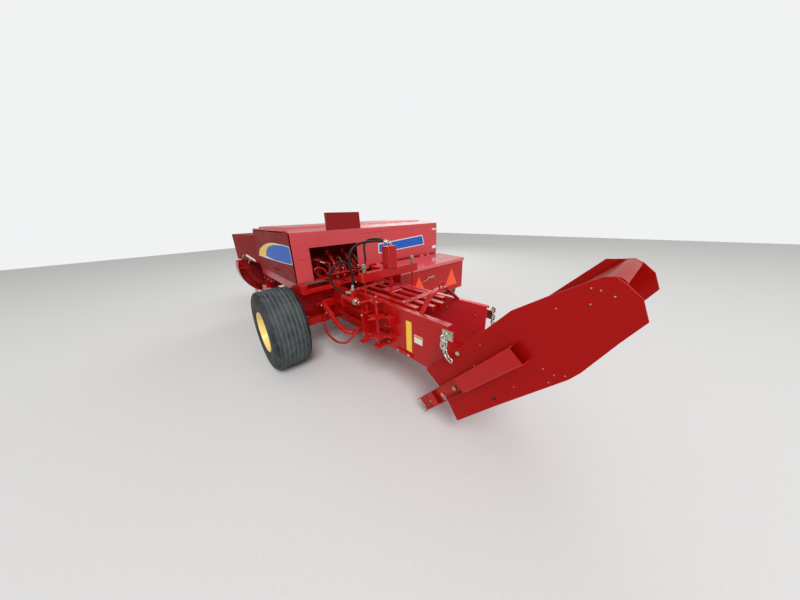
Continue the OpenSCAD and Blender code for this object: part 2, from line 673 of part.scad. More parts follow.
// Hoses from the density cylinder's head to the pump's port block: route and radius
hose_a = [[-12, 776, 1216], [-66, 806, 1236], [-170, 846, 1236], [-262, 850, 1224], [-322, 850, 1188],
    [-350, 850, 1130], [-350, 850, 1060], [-342, 848, 1000], [-344, 847, 940], [-352, 848, 863.6]];
hose_b = [[26, 806, 1216], [-20, 842, 1240], [-76, 868, 1250], [-130, 884, 1248], [-178, 888, 1234],
    [-196, 888, 1196], [-184, 886, 1136], [-178, 884, 1080], [-200, 880, 1036], [-246, 876, 1022],
    [-296, 872, 1032], [-336, 872, 1068], [-376, 874, 1098], [-424, 874, 1106], [-472, 874, 1088],
    [-508, 874, 1046], [-520, 874, 994], [-508, 872, 942], [-478, 866, 900], [-444, 858, 872],
    [-408, 851, 857], [-374.2, 848, 850]];

module hydraulic_hoses() color(black) {
    hose(hose_a, 10);
    hose(hose_b, 8);
}

bracket_t = 4;
chain_x = half + 48;
chain_y = wall_rear - 24;
chain_z = case_top - 34;
link_wire = 4;
link_half_w = 10;
link_half_l = 7;
link_pitch = 26.5;
bolt_z = chain_z + 8.5;

// How far each link leans rearwards from straight down, in degrees
link_lean = [0, 0, 0, 0, 14, 40, 66];

module chain_brackets() color(steel) for (s = [-1, 1])
    block(s > 0 ? [half, half + bracket_t] : [-half - bracket_t, -half], [wall_rear - 42, wall_rear + 40],
        [case_top - 90, case_top - 24]);

// Link of round bar: two half rings joined by two straight bars
module chain_link() {
    for (e = [-1, 1]) translate([0, e * link_half_l, 0]) rotate([0, 0, e > 0 ? 0 : 180])
        rotate_extrude(angle=180, $fn=24) translate([link_half_w, 0]) circle(r=link_wire, $fn=16);
    for (e = [-1, 1]) translate([e * link_half_w, 0, 0]) rotate([90, 0, 0])
        cylinder(r=link_wire, h=2 * link_half_l, center=true, $fn=16);
}

function link_place(i) = i == 0 ? [chain_y, chain_z] : let(p = link_place(i - 1),
        lean = (link_lean[i - 1] + link_lean[i]) / 2)
    [p[0] - link_pitch * sin(lean), p[1] - link_pitch * cos(lean)];

// The slack chain hangs from a bolt in its bracket, every second link turned on edge
module chains() color(steel) for (s = [-1, 1]) {
    for (i = [0:len(link_lean) - 1]) translate([s * chain_x, link_place(i)[0], link_place(i)[1]])
        rotate([90 - link_lean[i], 0, 0]) rotate([0, i % 2 == 0 ? 90 : 0, 0]) chain_link();
    bar_x(5, s > 0 ? [half + bracket_t, chain_x + 12] : [-chain_x - 12, -half - bracket_t], chain_y, bolt_z);
    bar_x(9, s > 0 ? [chain_x + 6, chain_x + 13] : [-chain_x - 13, -chain_x - 6], chain_y, bolt_z);
}

module chute_frame() translate([0, chute_y, chute_z]) rotate([-chute_angle, 0, 0]) children();

// A plate of the chute's side, drawn with depth downwards
module chute_side_plate(x, points) translate([x[0], 0, 0]) rotate([90, 0, 90])
    linear_extrude(x[1] - x[0]) polygon([for (p = points) [-p[0], -p[1]]]);

skirt_in = half + 9;
skirt_out = skirt_in + 6;
ramp_half = wall_in - 8;

fold_up = [0, -124, -6.8];
fold_low = [0, -212, 0.4];
lean_up = 7;
flare_low = 10;
fold_lap = 2;

// Room on one side of a fold line given by its y, z and slope, from a small lap past the line
module past_fold(fold, up, lap) translate([0, fold[0], fold[1]]) rotate([fold[2], 0, 0])
    block([-400, 400], [-chute_len - 200, 200], up ? [lap, 400] : [-400, -lap]);

module about_fold(side, fold, turn) translate([side * skirt_in, fold[0], fold[1]]) rotate([fold[2], 0, 0])
    rotate([0, turn, 0]) rotate([-fold[2], 0, 0]) translate([-side * skirt_in, -fold[0], -fold[1]])
        children();

// Side sheet folded twice: its top band leans outwards and its bottom band flares outwards
module folded_side(side) {
    x = side > 0 ? [skirt_in, skirt_out] : [-skirt_out, -skirt_in];
    points = chute_outline(side > 0 ? right_top : left_top);
    difference() {
        chute_side_plate(x, points);
        past_fold(fold_up, true, fold_lap);
        past_fold(fold_low, false, fold_lap);
    }
    about_fold(side, fold_up, side * lean_up) intersection() {
        chute_side_plate(x, points);
        past_fold(fold_up, true, -fold_lap);
    }
    about_fold(side, fold_low, -side * flare_low) intersection() {
        chute_side_plate(x, points);
        past_fold(fold_low, false, -fold_lap);
    }
}

ramp_s = [40, chute_len * 0.96];
ramp_z = [-16, -10];
ramp_roll = 40;

function ramp_bend(r, a) = [-ramp_s[1] - r * sin(a), ramp_z[1] - ramp_roll + r * cos(a)];

// Ramp sheet with its rear end rolled down
module ramp() side_plate([-ramp_half, ramp_half], concat(
    [[-ramp_s[0], ramp_z[0]], [-ramp_s[0], ramp_z[1]]],
    [for (a = [0:15:105]) ramp_bend(ramp_roll, a)],
    [for (a = [105:-15:0]) ramp_bend(ramp_roll - 6, a)]));

module chute() color(red) difference() {
    union() chute_frame() {
        for (side = [-1, 1]) folded_side(side);
        ramp();
        for (y = [0.4, 0.7, 0.92])
            block([-skirt_in - 1, skirt_in + 1], [-chute_len * y - 40, -chute_len * y], [-56, ramp_z[0]]);
    }
    bar_x(pin_r + run_fit, [-300, 300], pivot_y, pivot_z);
}

// Channels on the chute sides: an open one in front, bolted into a boxed sleeve behind
open_s = [-260, 250];
boxed_s = [247, 688];
strap_s = [-118, -60];
arm_top = 168;
arm_h = 97;
open_w = 32;
boxed_w = 60;
boxed_bend = 16;
arm_tilt = 5.2;
arm_t = 5;
arm_in = skirt_out + 0.4;

function arm_x(s, a, b) = s > 0 ? [arm_in + a, arm_in + b] : [-arm_in - b, -arm_in - a];
function arm_y(along) = [open_s[0] - along[1], open_s[0] - along[0]];

// Section of the sleeve: a sheet bent square above and round below
function sleeve_section(s) = [
    for (p = concat(
        [[0, 0], [boxed_w, 0]],
        [for (i = [0:6]) sleeve_bend(boxed_bend, 15 * i)],
        [[0, -arm_h], [0, arm_t - arm_h]],
        [for (i = [6:-1:0]) sleeve_bend(boxed_bend - arm_t, 15 * i)],
        [[boxed_w - arm_t, -arm_t], [0, -arm_t]])) [s * (arm_in + p[0]), p[1]]];
function sleeve_bend(r, a) = [boxed_w - boxed_bend + r * cos(a), boxed_bend - arm_h - r * sin(a)];

module chute_arm(s) {
    open_y = arm_y(open_s);
    chute_frame() difference() {
        translate([0, -open_s[0], -arm_top]) rotate([-arm_tilt, 0, 0]) {
            for (z = [[-arm_h, -arm_h + arm_t], [-arm_t, 0]]) block(arm_x(s, 0, open_w), open_y, z);
            block(arm_x(s, 0, arm_t), open_y, [-arm_h + 1, -1]);
            block(arm_x(s, open_w - arm_t, open_w), arm_y(strap_s), [-arm_h + 1, -1]);
            translate([0, arm_y(boxed_s)[1], 0]) rotate([90, 0, 0]) linear_extrude(boxed_s[1] - boxed_s[0])
                polygon(sleeve_section(s));
        }
        translate([0, 0, -400]) block(s > 0 ? [0, skirt_out + 12] : [-skirt_out - 12, 0],
            [-chute_len, 10], [0, 400 + fold_low[1] + 4]);
    }
}

module chute_arms() color(red) for (s = [-1, 1]) chute_arm(s);

stud_s = 340;
stud_d = 4;

// Plated studs near the chute's top edge that the chains hook over
module chain_studs() color(steel) for (s = [-1, 1]) chute_frame() about_fold(s, fold_up, s * lean_up) {
    x = s > 0 ? [skirt_out + 0.2, skirt_out + 9] : [-skirt_out - 9, -skirt_out - 0.2];
    bar_x(13, x, -stud_s, -stud_d);
}

reel_y = 2700;
lift_y = 2350;
lift_z = 380;
lift_r = 20;
sheet_x = [[300, 306], [1760, 1766]];
reel_shaft_r = 12;
sheet_outline = [[2320, 350], [2320, 420], [2480, 740], [2700, 780], [2960, 600], [2990, 430], [2860, 220],
    [2600, 150], [2400, 260]];

module pickup_frame() color(red) {
    for (x = sheet_x) difference() {
        side_plate(x, sheet_outline);
        bar_x(lift_r + run_fit, [x[0] - 1, x[1] + 1], lift_y, lift_z);
        bar_x(reel_shaft_r + run_fit, [x[0] - 1, x[1] + 1], reel_y, reel_z);
    }
    block([306, 1760], [2400, 2430], [band_z, band_z + 30]);
    block([306, 1760], [2400, 2430], [band_low - 30, band_low]);
    block([1766, 1778], [2500, 2640], [120, 300]);
    bar_x(12, [1778, gauge_out], gauge_y, gauge_z);
}

band_n = 13;
band_pitch = (1760 - 306) / band_n;
band_w = 76;
band_t = 4;
band_z = reel_z + band_r;
band_low = reel_z - band_r;

// Bands between the tines: over the reel, round its front and back under it
module stripper_bands() color(red) for (i = [0:band_n - 1]) {
    x = 306 + band_pitch * (i + 0.5) - band_w / 2;
    translate([x, 0, 0]) rotate([90, 0, 90]) linear_extrude(band_w) difference() {
        union() {
            translate([reel_y, reel_z]) circle(r=band_r);
            translate([2400, reel_z - band_r]) square([reel_y - 2400, 2 * band_r]);
        }
        translate([reel_y, reel_z]) circle(r=band_r - band_t);
        translate([2399, reel_z - band_r + band_t]) square([reel_y - 2399, 2 * (band_r - band_t)]);
    }
}

reel_bars = 4;
bar_radius = 130;
tine_r = 4;

module pickup_reel() color(dark) {
    bar_x(25, [312, 1754], reel_y, reel_z);
    bar_x(reel_shaft_r, [300, 1766], reel_y, reel_z);
    for (x = [340, 1030, 1716]) bar_x(bar_radius + 16, [x, x + 10], reel_y, reel_z);
    for (k = [0:reel_bars - 1]) translate([0, reel_y, reel_z]) rotate([k * 360 / reel_bars + 20, 0, 0]) {
        bar_x(12, [320, 1746], 0, bar_radius);
        for (i = [1:band_n - 1]) rod([306 + band_pitch * i, 0, bar_radius],
            [306 + band_pitch * i, 40, sqrt(tine_tip_r * tine_tip_r - 1600) - 1], tine_r);
    }
}

module wind_guard() color(dark) {
    for (x = [[306, 312], [1754, 1760]]) side_plate(x, [[2500, 640], [2540, 640], [2540, 850], [2500, 850]]);
    bar_x(16, [312, 1754], 2520, 830);
    for (i = [1:8]) {
        x = 306 + (1760 - 306) * i / 9;
        rod([x, 2520, 830], [x, 2800, 800], 7);
        rod([x, 2800, 800], [x, 2960, 700], 7);
    }
}

gauge_y = 2570;
gauge_z = 160;
gauge_r = 135;

module gauge_wheel() color(black) difference() {
    bar_x(gauge_r, [1786, gauge_out], gauge_y, gauge_z);
    bar_x(12 + run_fit, [1700, gauge_out + 1], gauge_y, gauge_z);
    for (x = [[1785, 1800], [gauge_out - 16, gauge_out + 1]]) difference() {
        bar_x(gauge_r - 40, x, gauge_y, gauge_z);
        bar_x(30, x, gauge_y, gauge_z);
    }
}

tongue_z = [280, 400];
tongue_half = 60;
pivot_pin_r = 20;

// Plates on the case and gearbox that hold the tongue's upright pin
module tongue_bracket() color(red) {
    block([-440, -half], [2960, 3130], [case_z + 6, case_z + 26]);
    block([-440, -half], [2960, 3130], [240, 262]);
    block([-half - 14, -half], [2900, 2940], [240, 580]);
    block([-440, -half], [2930, 2960], [240, case_z + 26]);
    bar_z(pivot_pin_r, pivot_x, tongue_pivot_y, [240, case_z + 26]);
}

module tongue() color(red) difference() {
    union() {
        block([pivot_x - tongue_half, pivot_x + tongue_half], [tongue_pivot_y, hitch_y - 60], tongue_z);
        bar_z(tongue_half, pivot_x, tongue_pivot_y, tongue_z);
        block([pivot_x - 8, pivot_x + 8], [4200, 4260], [tongue_z[1], 600]);
    }
    bar_z(pivot_pin_r + run_fit, pivot_x, tongue_pivot_y, [tongue_z[0] - 1, tongue_z[1] + 1]);
}

hitch_plates = [[tongue_z[0] + 10, tongue_z[0] + 30], [tongue_z[1] - 30, tongue_z[1] - 10]];

module hitch() color(dark) for (z = hitch_plates) difference() {
    union() {
        block([pivot_x - hitch_r, pivot_x + hitch_r], [hitch_y - 60, hitch_y], z);
        bar_z(hitch_r, pivot_x, hitch_y, z);
    }
    bar_z(pin_hole_d / 2, pivot_x, hitch_y, [z[0] - 1, z[1] + 1]);
}

// Telescoping shaft in its round guard, with a joint at each end
module driveline() color(black) {
    rod([pivot_x, 3700, 745], [pivot_x, 4780, 600], 40);
    rod([pivot_x, 3650, 752], [pivot_x, 3700, 745], 50);
    rod([pivot_x, 4780, 600], [pivot_x, 4840, 592], 50);
    block([pivot_x - 30, pivot_x + 30], [4200, 4260], [600, 640]);
}

jack_x = -470;
jack_y = 4300;
leg_r = 24;

module jack_tube() color(steel) {
    difference() {
        bar_z(31, jack_x, jack_y, [250, 720]);
        bar_z(leg_r + run_fit, jack_x, jack_y, [249, 712]);
    }
    block([-440, pivot_x - tongue_half], [jack_y - 30, jack_y + 30], [300, 380]);
    rod([jack_x, jack_y, 720], [jack_x, jack_y, 740], 12);
    rod([jack_x, jack_y, 732], [jack_x - 110, jack_y, 732], 8);
}

module jack_leg() color(steel) {
    bar_z(leg_r, jack_x, jack_y, [8, 480]);
    bar_z(80, jack_x, jack_y, [0, 10]);
}

place() case_left_wall();
place() case_right_wall();
place() case_floor();
place() case_front_plate();
place() case_frame();
place() density_rails();
place() density_beam();
place() density_cylinder();
place() density_studs();
place() hay_arch();
place() knotter_table();
place() knotters();
place() knotter_shaft();
place() hood_frame();
place() hood_deck();
place() hood_rear_panel();
place() hood_front_panel();
place() hood_right_panel();
place() hood_upright();
place() front_shield();
place() left_shield();
place() flywheel_guard();
place() flywheel();
place() gearbox();
place() feeder_floor();
place() feeder_walls();
place() twine_box();
place() twine_box_lid();
place() reflectors();
place() axle();
place() left_tyre();
place() left_rim();
place() right_tyre();
place() right_rim();
place() side_mechanism();
place() needle_yoke();
place() needle_guard();
place() metering_star();
place() hydraulic_hoses();
place() chain_brackets();
place() chains();
place() chute();
place() chute_arms();
place() chain_studs();
place() pickup_frame();
place() stripper_bands();
place() pickup_reel();
place() wind_guard();
place() gauge_wheel();
place() tongue_bracket();
place() tongue();
place() hitch();
place() driveline();
place() jack_tube();
place() jack_leg();
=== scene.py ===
import json
from math import cos, pi, radians, sin, sqrt

import bmesh
import bpy
from mathutils import Matrix, Vector


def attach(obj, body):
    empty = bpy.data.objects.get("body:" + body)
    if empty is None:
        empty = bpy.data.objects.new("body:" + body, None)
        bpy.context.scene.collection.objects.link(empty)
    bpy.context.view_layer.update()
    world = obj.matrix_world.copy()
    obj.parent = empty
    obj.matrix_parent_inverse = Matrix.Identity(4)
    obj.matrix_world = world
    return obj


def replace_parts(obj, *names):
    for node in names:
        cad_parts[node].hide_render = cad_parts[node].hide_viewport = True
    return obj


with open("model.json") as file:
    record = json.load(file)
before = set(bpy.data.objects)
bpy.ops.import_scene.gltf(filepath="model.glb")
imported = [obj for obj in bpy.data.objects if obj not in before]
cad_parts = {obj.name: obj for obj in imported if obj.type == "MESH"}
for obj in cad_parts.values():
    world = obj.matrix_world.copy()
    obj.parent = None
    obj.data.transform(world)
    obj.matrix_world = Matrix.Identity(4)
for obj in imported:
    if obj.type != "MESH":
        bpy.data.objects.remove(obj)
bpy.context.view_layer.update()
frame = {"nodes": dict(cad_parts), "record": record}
record = frame["record"]
body_of_node = {n: b for b, names in record["behaviour"]["bodies"].items() for n in names}
slot_of_node = {s["node"]: s["material_slot"] for s in record["subparts"]}

# Camera
# The photograph was taken from behind the left rear corner with a very wide phone lens,
# held level with the hood and tipped down a little.
scene = bpy.context.scene
camera_place = Vector((-1.7645, -2.8702, 1.429))
camera_yaw, camera_pitch, camera_roll = radians(41.11), radians(-19.56), radians(-2.18)
lens_pixels, frame_pixels, sensor = 237.68, 800, 36.0

ahead = Vector((sin(camera_yaw) * cos(camera_pitch), cos(camera_yaw) * cos(camera_pitch),
                sin(camera_pitch)))
right = ahead.cross(Vector((0, 0, 1))).normalized()
up = right.cross(ahead)
side = right * cos(camera_roll) + up * sin(camera_roll)
top = up * cos(camera_roll) - right * sin(camera_roll)
camera_data = bpy.data.cameras.new("photo_camera")
camera_data.sensor_width = sensor
camera_data.lens = lens_pixels * sensor / frame_pixels
camera_data.clip_start = 0.02
camera = bpy.data.objects.new("photo_camera", camera_data)
aim = Matrix((side, top, -ahead)).transposed().to_4x4()
camera.matrix_world = Matrix.Translation(camera_place) @ aim
scene.collection.objects.link(camera)
scene.camera = camera
scene.view_settings.view_transform = "Standard"


# Hydraulic hoses
# Two braided hoses with a black nitrile cover run from the density cylinder's head to the
# pump's port block, crimped into plated ends. The thin one is longer than its way and
# stands in a loop above the pump.
def add_node(tree, kind, inputs=(), **settings):
    """Adds a node with its settings, and its inputs as values or as other nodes' sockets."""
    node = tree.nodes.new(kind)
    for name, value in settings.items():
        setattr(node, name, value)
    for socket, value in dict(inputs).items():
        if isinstance(value, bpy.types.NodeSocket):
            tree.links.new(value, node.inputs[socket])
        else:
            node.inputs[socket].default_value = value
    return node


def linear(hex_colour):
    """An sRGB hex colour as the linear values that the shaders take."""
    parts = [int(hex_colour[i:i + 2], 16) / 255 for i in (1, 3, 5)]
    return tuple(c / 12.92 if c <= 0.04045 else ((c + 0.055) / 1.055) ** 2.4 for c in parts) + (1.0,)


# The machine's middle, from the rear end of the bale case that all its sizes are measured from.
middle_x, middle_y = 470.5, 2051.2104


def at(x, y, z):
    """A place in millimetres from the rear end of the bale case, in the shared frame in metres."""
    return Vector(((x - middle_x) / 1000, (y - middle_y) / 1000, z / 1000))


def empty_material(name):
    """A new material with its tree, its shader and its Object coordinates."""
    material = bpy.data.materials.new(name)
    material.use_nodes = True
    tree = material.node_tree
    place = add_node(tree, "ShaderNodeTexCoord").outputs["Object"]
    return material, tree, tree.nodes["Principled BSDF"], place


def lay_finish(tree, shader, tint, cloud, gloss_range, relief, strength, depth):
    """Leads a colour, a gloss that drifts with a cloud and a fine relief to the shader."""
    gloss = add_node(tree, "ShaderNodeMapRange", {"Value": cloud.outputs["Fac"], "From Min": 0.3,
                                                  "From Max": 0.7, "To Min": gloss_range[0],
                                                  "To Max": gloss_range[1]})
    bump = add_node(tree, "ShaderNodeBump", {"Height": relief, "Strength": strength, "Distance": depth})
    tree.links.new(tint.outputs[2], shader.inputs["Base Color"])
    tree.links.new(gloss.outputs[0], shader.inputs["Roughness"])
    tree.links.new(bump.outputs[0], shader.inputs["Normal"])


def moulded(name, colour, worn, roughness, grain_mm, grain_height):
    """Rubber or plastic from a mould: cloudy weathering, and a fine grain worked out from its size."""
    material, tree, shader, place = empty_material(name)
    cloud = add_node(tree, "ShaderNodeTexNoise", {"Vector": place, "Scale": 9.0, "Detail": 6.0,
                                                  "Roughness": 0.65})
    edge = add_node(tree, "ShaderNodeAttribute", attribute_name="edge").outputs["Fac"]
    patch = add_node(tree, "ShaderNodeMapRange", {"Value": cloud.outputs["Fac"], "From Min": 0.36,
                                                  "From Max": 0.74, "To Min": 0.0, "To Max": 0.34})
    weather = add_node(tree, "ShaderNodeMath", {0: edge, 1: 0.66, 2: patch.outputs[0]},
                       operation="MULTIPLY_ADD", use_clamp=True)
    tint = add_node(tree, "ShaderNodeMix", {0: weather.outputs[0], 6: linear(colour), 7: linear(worn)},
                    data_type="RGBA")
    grain = add_node(tree, "ShaderNodeTexNoise",
                     {"Vector": place, "Scale": 1000 / grain_mm, "Detail": 2.0})
    lay_finish(tree, shader, tint, cloud, (roughness - 0.06, roughness + 0.08), grain.outputs["Fac"],
               0.6, grain_height)
    shader.inputs["Specular IOR Level"].default_value = 0.3
    return material


def plated(name, pale, bloom, roughness, grain_mm=40):
    """Zinc plate: a metal whose passivated bloom, and gloss, vary in clouds, duller along the edges."""
    material, tree, shader, place = empty_material(name)
    cloud = add_node(tree, "ShaderNodeTexNoise",
                     {"Vector": place, "Scale": 1000 / grain_mm, "Detail": 4.0})
    edge = add_node(tree, "ShaderNodeAttribute", attribute_name="edge").outputs["Fac"]
    mask = add_node(tree, "ShaderNodeMath", {0: edge, 1: 0.4, 2: cloud.outputs["Fac"]},
                    operation="MULTIPLY_ADD", use_clamp=True)
    tint = add_node(tree, "ShaderNodeMix", {0: mask.outputs[0], 6: linear(pale), 7: linear(bloom)},
                    data_type="RGBA")
    scratch = add_node(tree, "ShaderNodeTexNoise", {"Vector": place, "Scale": 900.0, "Detail": 1.0})
    lay_finish(tree, shader, tint, cloud, (roughness - 0.08, roughness + 0.1), scratch.outputs["Fac"],
               0.3, 0.00008)
    shader.inputs["Metallic"].default_value = 1.0
    return material


# Nitrile cover: matt black with a faint grey bloom. Zinc plate: bright, faintly yellow.
nitrile = moulded("extruded_nitrile_cover", "#0f1011", "#26282a", 0.4, 3, 0.0001)
zinc = plated("yellow_passivated_zinc_plate", "#dcd9cf", "#b3a67c", 0.33)


def piece_of(name, mesh, material, body, smooth_under=34):
    """Makes a mesh a piece, with its sharp corners kept, its finish, and the body that it rides on."""
    piece = bpy.data.objects.new(name, mesh)
    scene.collection.objects.link(piece)
    if material:
        mesh.materials.append(material)
    mesh.shade_smooth()
    mesh.set_sharp_from_angle(angle=radians(smooth_under))
    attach(piece, body)
    return piece


def outward(mesh, weld=0.00001):
    """Merges doubles and turns every face outwards."""
    bm = bmesh.new()
    bm.from_mesh(mesh)
    bmesh.ops.remove_doubles(bm, verts=bm.verts, dist=weld)
    bmesh.ops.recalc_face_normals(bm, faces=bm.faces)
    bm.to_mesh(mesh)
    bm.free()


def through(points, parts):
    """The smooth curve that the part's source also draws through a list of points."""
    points = [Vector(p) for p in points]
    curve = []
    for i in range(len(points) - 1):
        before, start = points[max(i - 1, 0)], points[i]
        end, after = points[i + 1], points[min(i + 2, len(points) - 1)]
        for j in range(parts):
            t = j / parts
            curve.append(0.5 * ((2 * start) + (end - before) * t
                                + (2 * before - 5 * start + 4 * end - after) * t * t
                                + (3 * start - before - 3 * end + after) * t * t * t))
    return curve + [points[-1]]


def swept(points, radii, sides=16):
    """A round bar along points in metres, with a radius at each, closed at both ends."""
    points = [Vector(p) for p in points]
    verts, faces = [], []
    across = None
    for i, p in enumerate(points):
        along = (points[min(i + 1, len(points) - 1)] - points[max(i - 1, 0)]).normalized()
        if across is None:
            across = along.orthogonal().normalized()
        across = (across - along * across.dot(along)).normalized()
        other = along.cross(across)
        r = radii[i] if isinstance(radii, (list, tuple)) else radii
        verts += [p + r * (cos(2 * pi * k / sides) * across + sin(2 * pi * k / sides) * other)
                  for k in range(sides)]
    for i in range(len(points) - 1):
        for k in range(sides):
            n = (k + 1) % sides
            faces.append((i * sides + k, i * sides + n, (i + 1) * sides + n, (i + 1) * sides + k))
    faces.append(tuple(range(sides - 1, -1, -1)))
    faces.append(tuple((len(points) - 1) * sides + k for k in range(sides)))
    return verts, faces


def joined(parts):
    """One mesh from several lists of points and faces."""
    verts, faces = [], []
    for v, f in parts:
        faces += [tuple(i + len(verts) for i in face) for face in f]
        verts += v
    mesh = bpy.data.meshes.new("joined")
    mesh.from_pydata([tuple(v) for v in verts], [], faces)
    outward(mesh)
    return mesh


thick_points = [(-12, 776, 1216), (-66, 806, 1236), (-170, 846, 1236), (-262, 850, 1224),
                (-322, 850, 1188), (-350, 850, 1130), (-350, 850, 1060), (-342, 848, 1000),
                (-344, 847, 940), (-352, 848, 863.6)]
thin_points = [(26, 806, 1216), (-20, 842, 1240), (-72, 866, 1251), (-120, 882, 1249),
               (-146, 886, 1241), (-165, 888, 1225), (-177, 888, 1203), (-181, 888, 1178),
               (-180, 886, 1138), (-180, 884, 1098), (-189.4, 882, 1063), (-215, 879, 1037.4),
               (-250, 876, 1028), (-296, 873, 1034), (-336, 872, 1058), (-376, 874, 1086),
               (-422, 874, 1101), (-472, 874, 1086), (-508, 874, 1046), (-520, 874, 994),
               (-508, 872, 942), (-478, 866, 900), (-444, 858, 872), (-408, 851, 857),
               (-374.2, 848, 850)]


crimp_length, nut_length, nut_wall = 0.046, 0.011, 0.0055
crimp_ridge, crimp_valley, crimp_mouth = 0.0028, 0.0018, 0.0006


def hose(name, route, radius):
    """A hose as one curve with the source's own tangents, and its two crimped ends."""
    data = bpy.data.curves.new(name, "CURVE")
    data.dimensions = "3D"
    data.bevel_depth = radius
    data.bevel_resolution = 5
    data.resolution_u = 8
    data.use_fill_caps = True
    spline = data.splines.new("BEZIER")
    spline.bezier_points.add(len(route) - 1)
    for i, p in enumerate(route):
        before, after = route[max(i - 1, 0)], route[min(i + 1, len(route) - 1)]
        point = spline.bezier_points[i]
        lean = (after - before) / 6
        point.co = p
        point.handle_left_type = point.handle_right_type = "FREE"
        point.handle_left = p - lean
        point.handle_right = p + lean
    data.materials.append(nitrile)
    piece = bpy.data.objects.new(name, data)
    scene.collection.objects.link(piece)
    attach(piece, "chassis")
    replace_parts(piece, "hydraulic_hoses")
    line = through(route, 16)
    ends = []
    for walk in (line, line[::-1]):
        start = walk[0]
        sleeve = [p for p in walk if (p - start).length < crimp_length]
        grip = [radius + (crimp_ridge if (i // 2) % 2 else crimp_valley) for i in range(len(sleeve))]
        grip[-1] = radius + crimp_mouth
        ends.append(swept(sleeve, grip, 20))
        along = (walk[2] - walk[0]).normalized()
        ends.append(swept([start - along * 0.001, start + along * nut_length], radius + nut_wall, 6))
    fitting = piece_of(name + "_crimped_ends", joined(ends), zinc, "chassis")


hose("thick_hose", through([at(*p) for p in thick_points], 2), 0.010)
hose("thin_hose", [at(*p) for p in thin_points], 0.008)

# Studio
# A plain pale floor and an even pale surround, with one broad soft lamp behind the machine
# and a weak one opposite. Glossy paint sees the surround, as it saw the clouded sky.
world = bpy.data.worlds.new("pale_surround")
scene.world = world
world.use_nodes = True
tree = world.node_tree
tree.nodes.clear()
paths = add_node(tree, "ShaderNodeLightPath")
sky = add_node(tree, "ShaderNodeBackground", {"Color": linear("#eceae8"), "Strength": 0.64})
seen = add_node(tree, "ShaderNodeBackground", {"Color": linear("#f1f2f3"), "Strength": 1.0})
mix = add_node(tree, "ShaderNodeMixShader", {0: paths.outputs["Is Camera Ray"], 1: sky.outputs[0],
                                             2: seen.outputs[0]})
add_node(tree, "ShaderNodeOutputWorld", {"Surface": mix.outputs[0]})

floor_reach = 14.0
floor_mesh = bpy.data.meshes.new("floor")
floor_mesh.from_pydata([(-floor_reach, -floor_reach, 0), (floor_reach, -floor_reach, 0),
                        (floor_reach, floor_reach, 0), (-floor_reach, floor_reach, 0)], [],
                       [(0, 1, 2, 3)])
floor = bpy.data.objects.new("floor", floor_mesh)
floor.location.z = -0.001
scene.collection.objects.link(floor)
floor_paint, tree, shader, place = empty_material("pale_floor")
grain = add_node(tree, "ShaderNodeTexNoise", {"Vector": place, "Scale": 60.0, "Detail": 3.0})
tint = add_node(tree, "ShaderNodeMix", {0: grain.outputs["Fac"], 6: linear("#d5d6d5"),
                                        7: linear("#dededf")}, data_type="RGBA")
tree.links.new(tint.outputs[2], shader.inputs["Base Color"])
shader.inputs["Roughness"].default_value = 0.85
floor.data.materials.append(floor_paint)


def soft_lamp(name, place, target, size, watts):
    """A round lamp at a place, as broad as its size in metres, aimed at a target."""
    data = bpy.data.lights.new(name, "AREA")
    data.shape = "DISK"
    data.size = size
    data.energy = watts
    lamp = bpy.data.objects.new(name, data)
    lamp.location = place
    lamp.rotation_euler = (Vector(target) - Vector(place)).to_track_quat("-Z", "Y").to_euler()
    scene.collection.objects.link(lamp)


soft_lamp("key", (-7.0, -12.5, 14.5), (0, 0.4, 0.6), 9.0, 2500)
soft_lamp("fill", (4.5, 3.5, 4.5), (0, 0, 0.6), 5.0, 110)

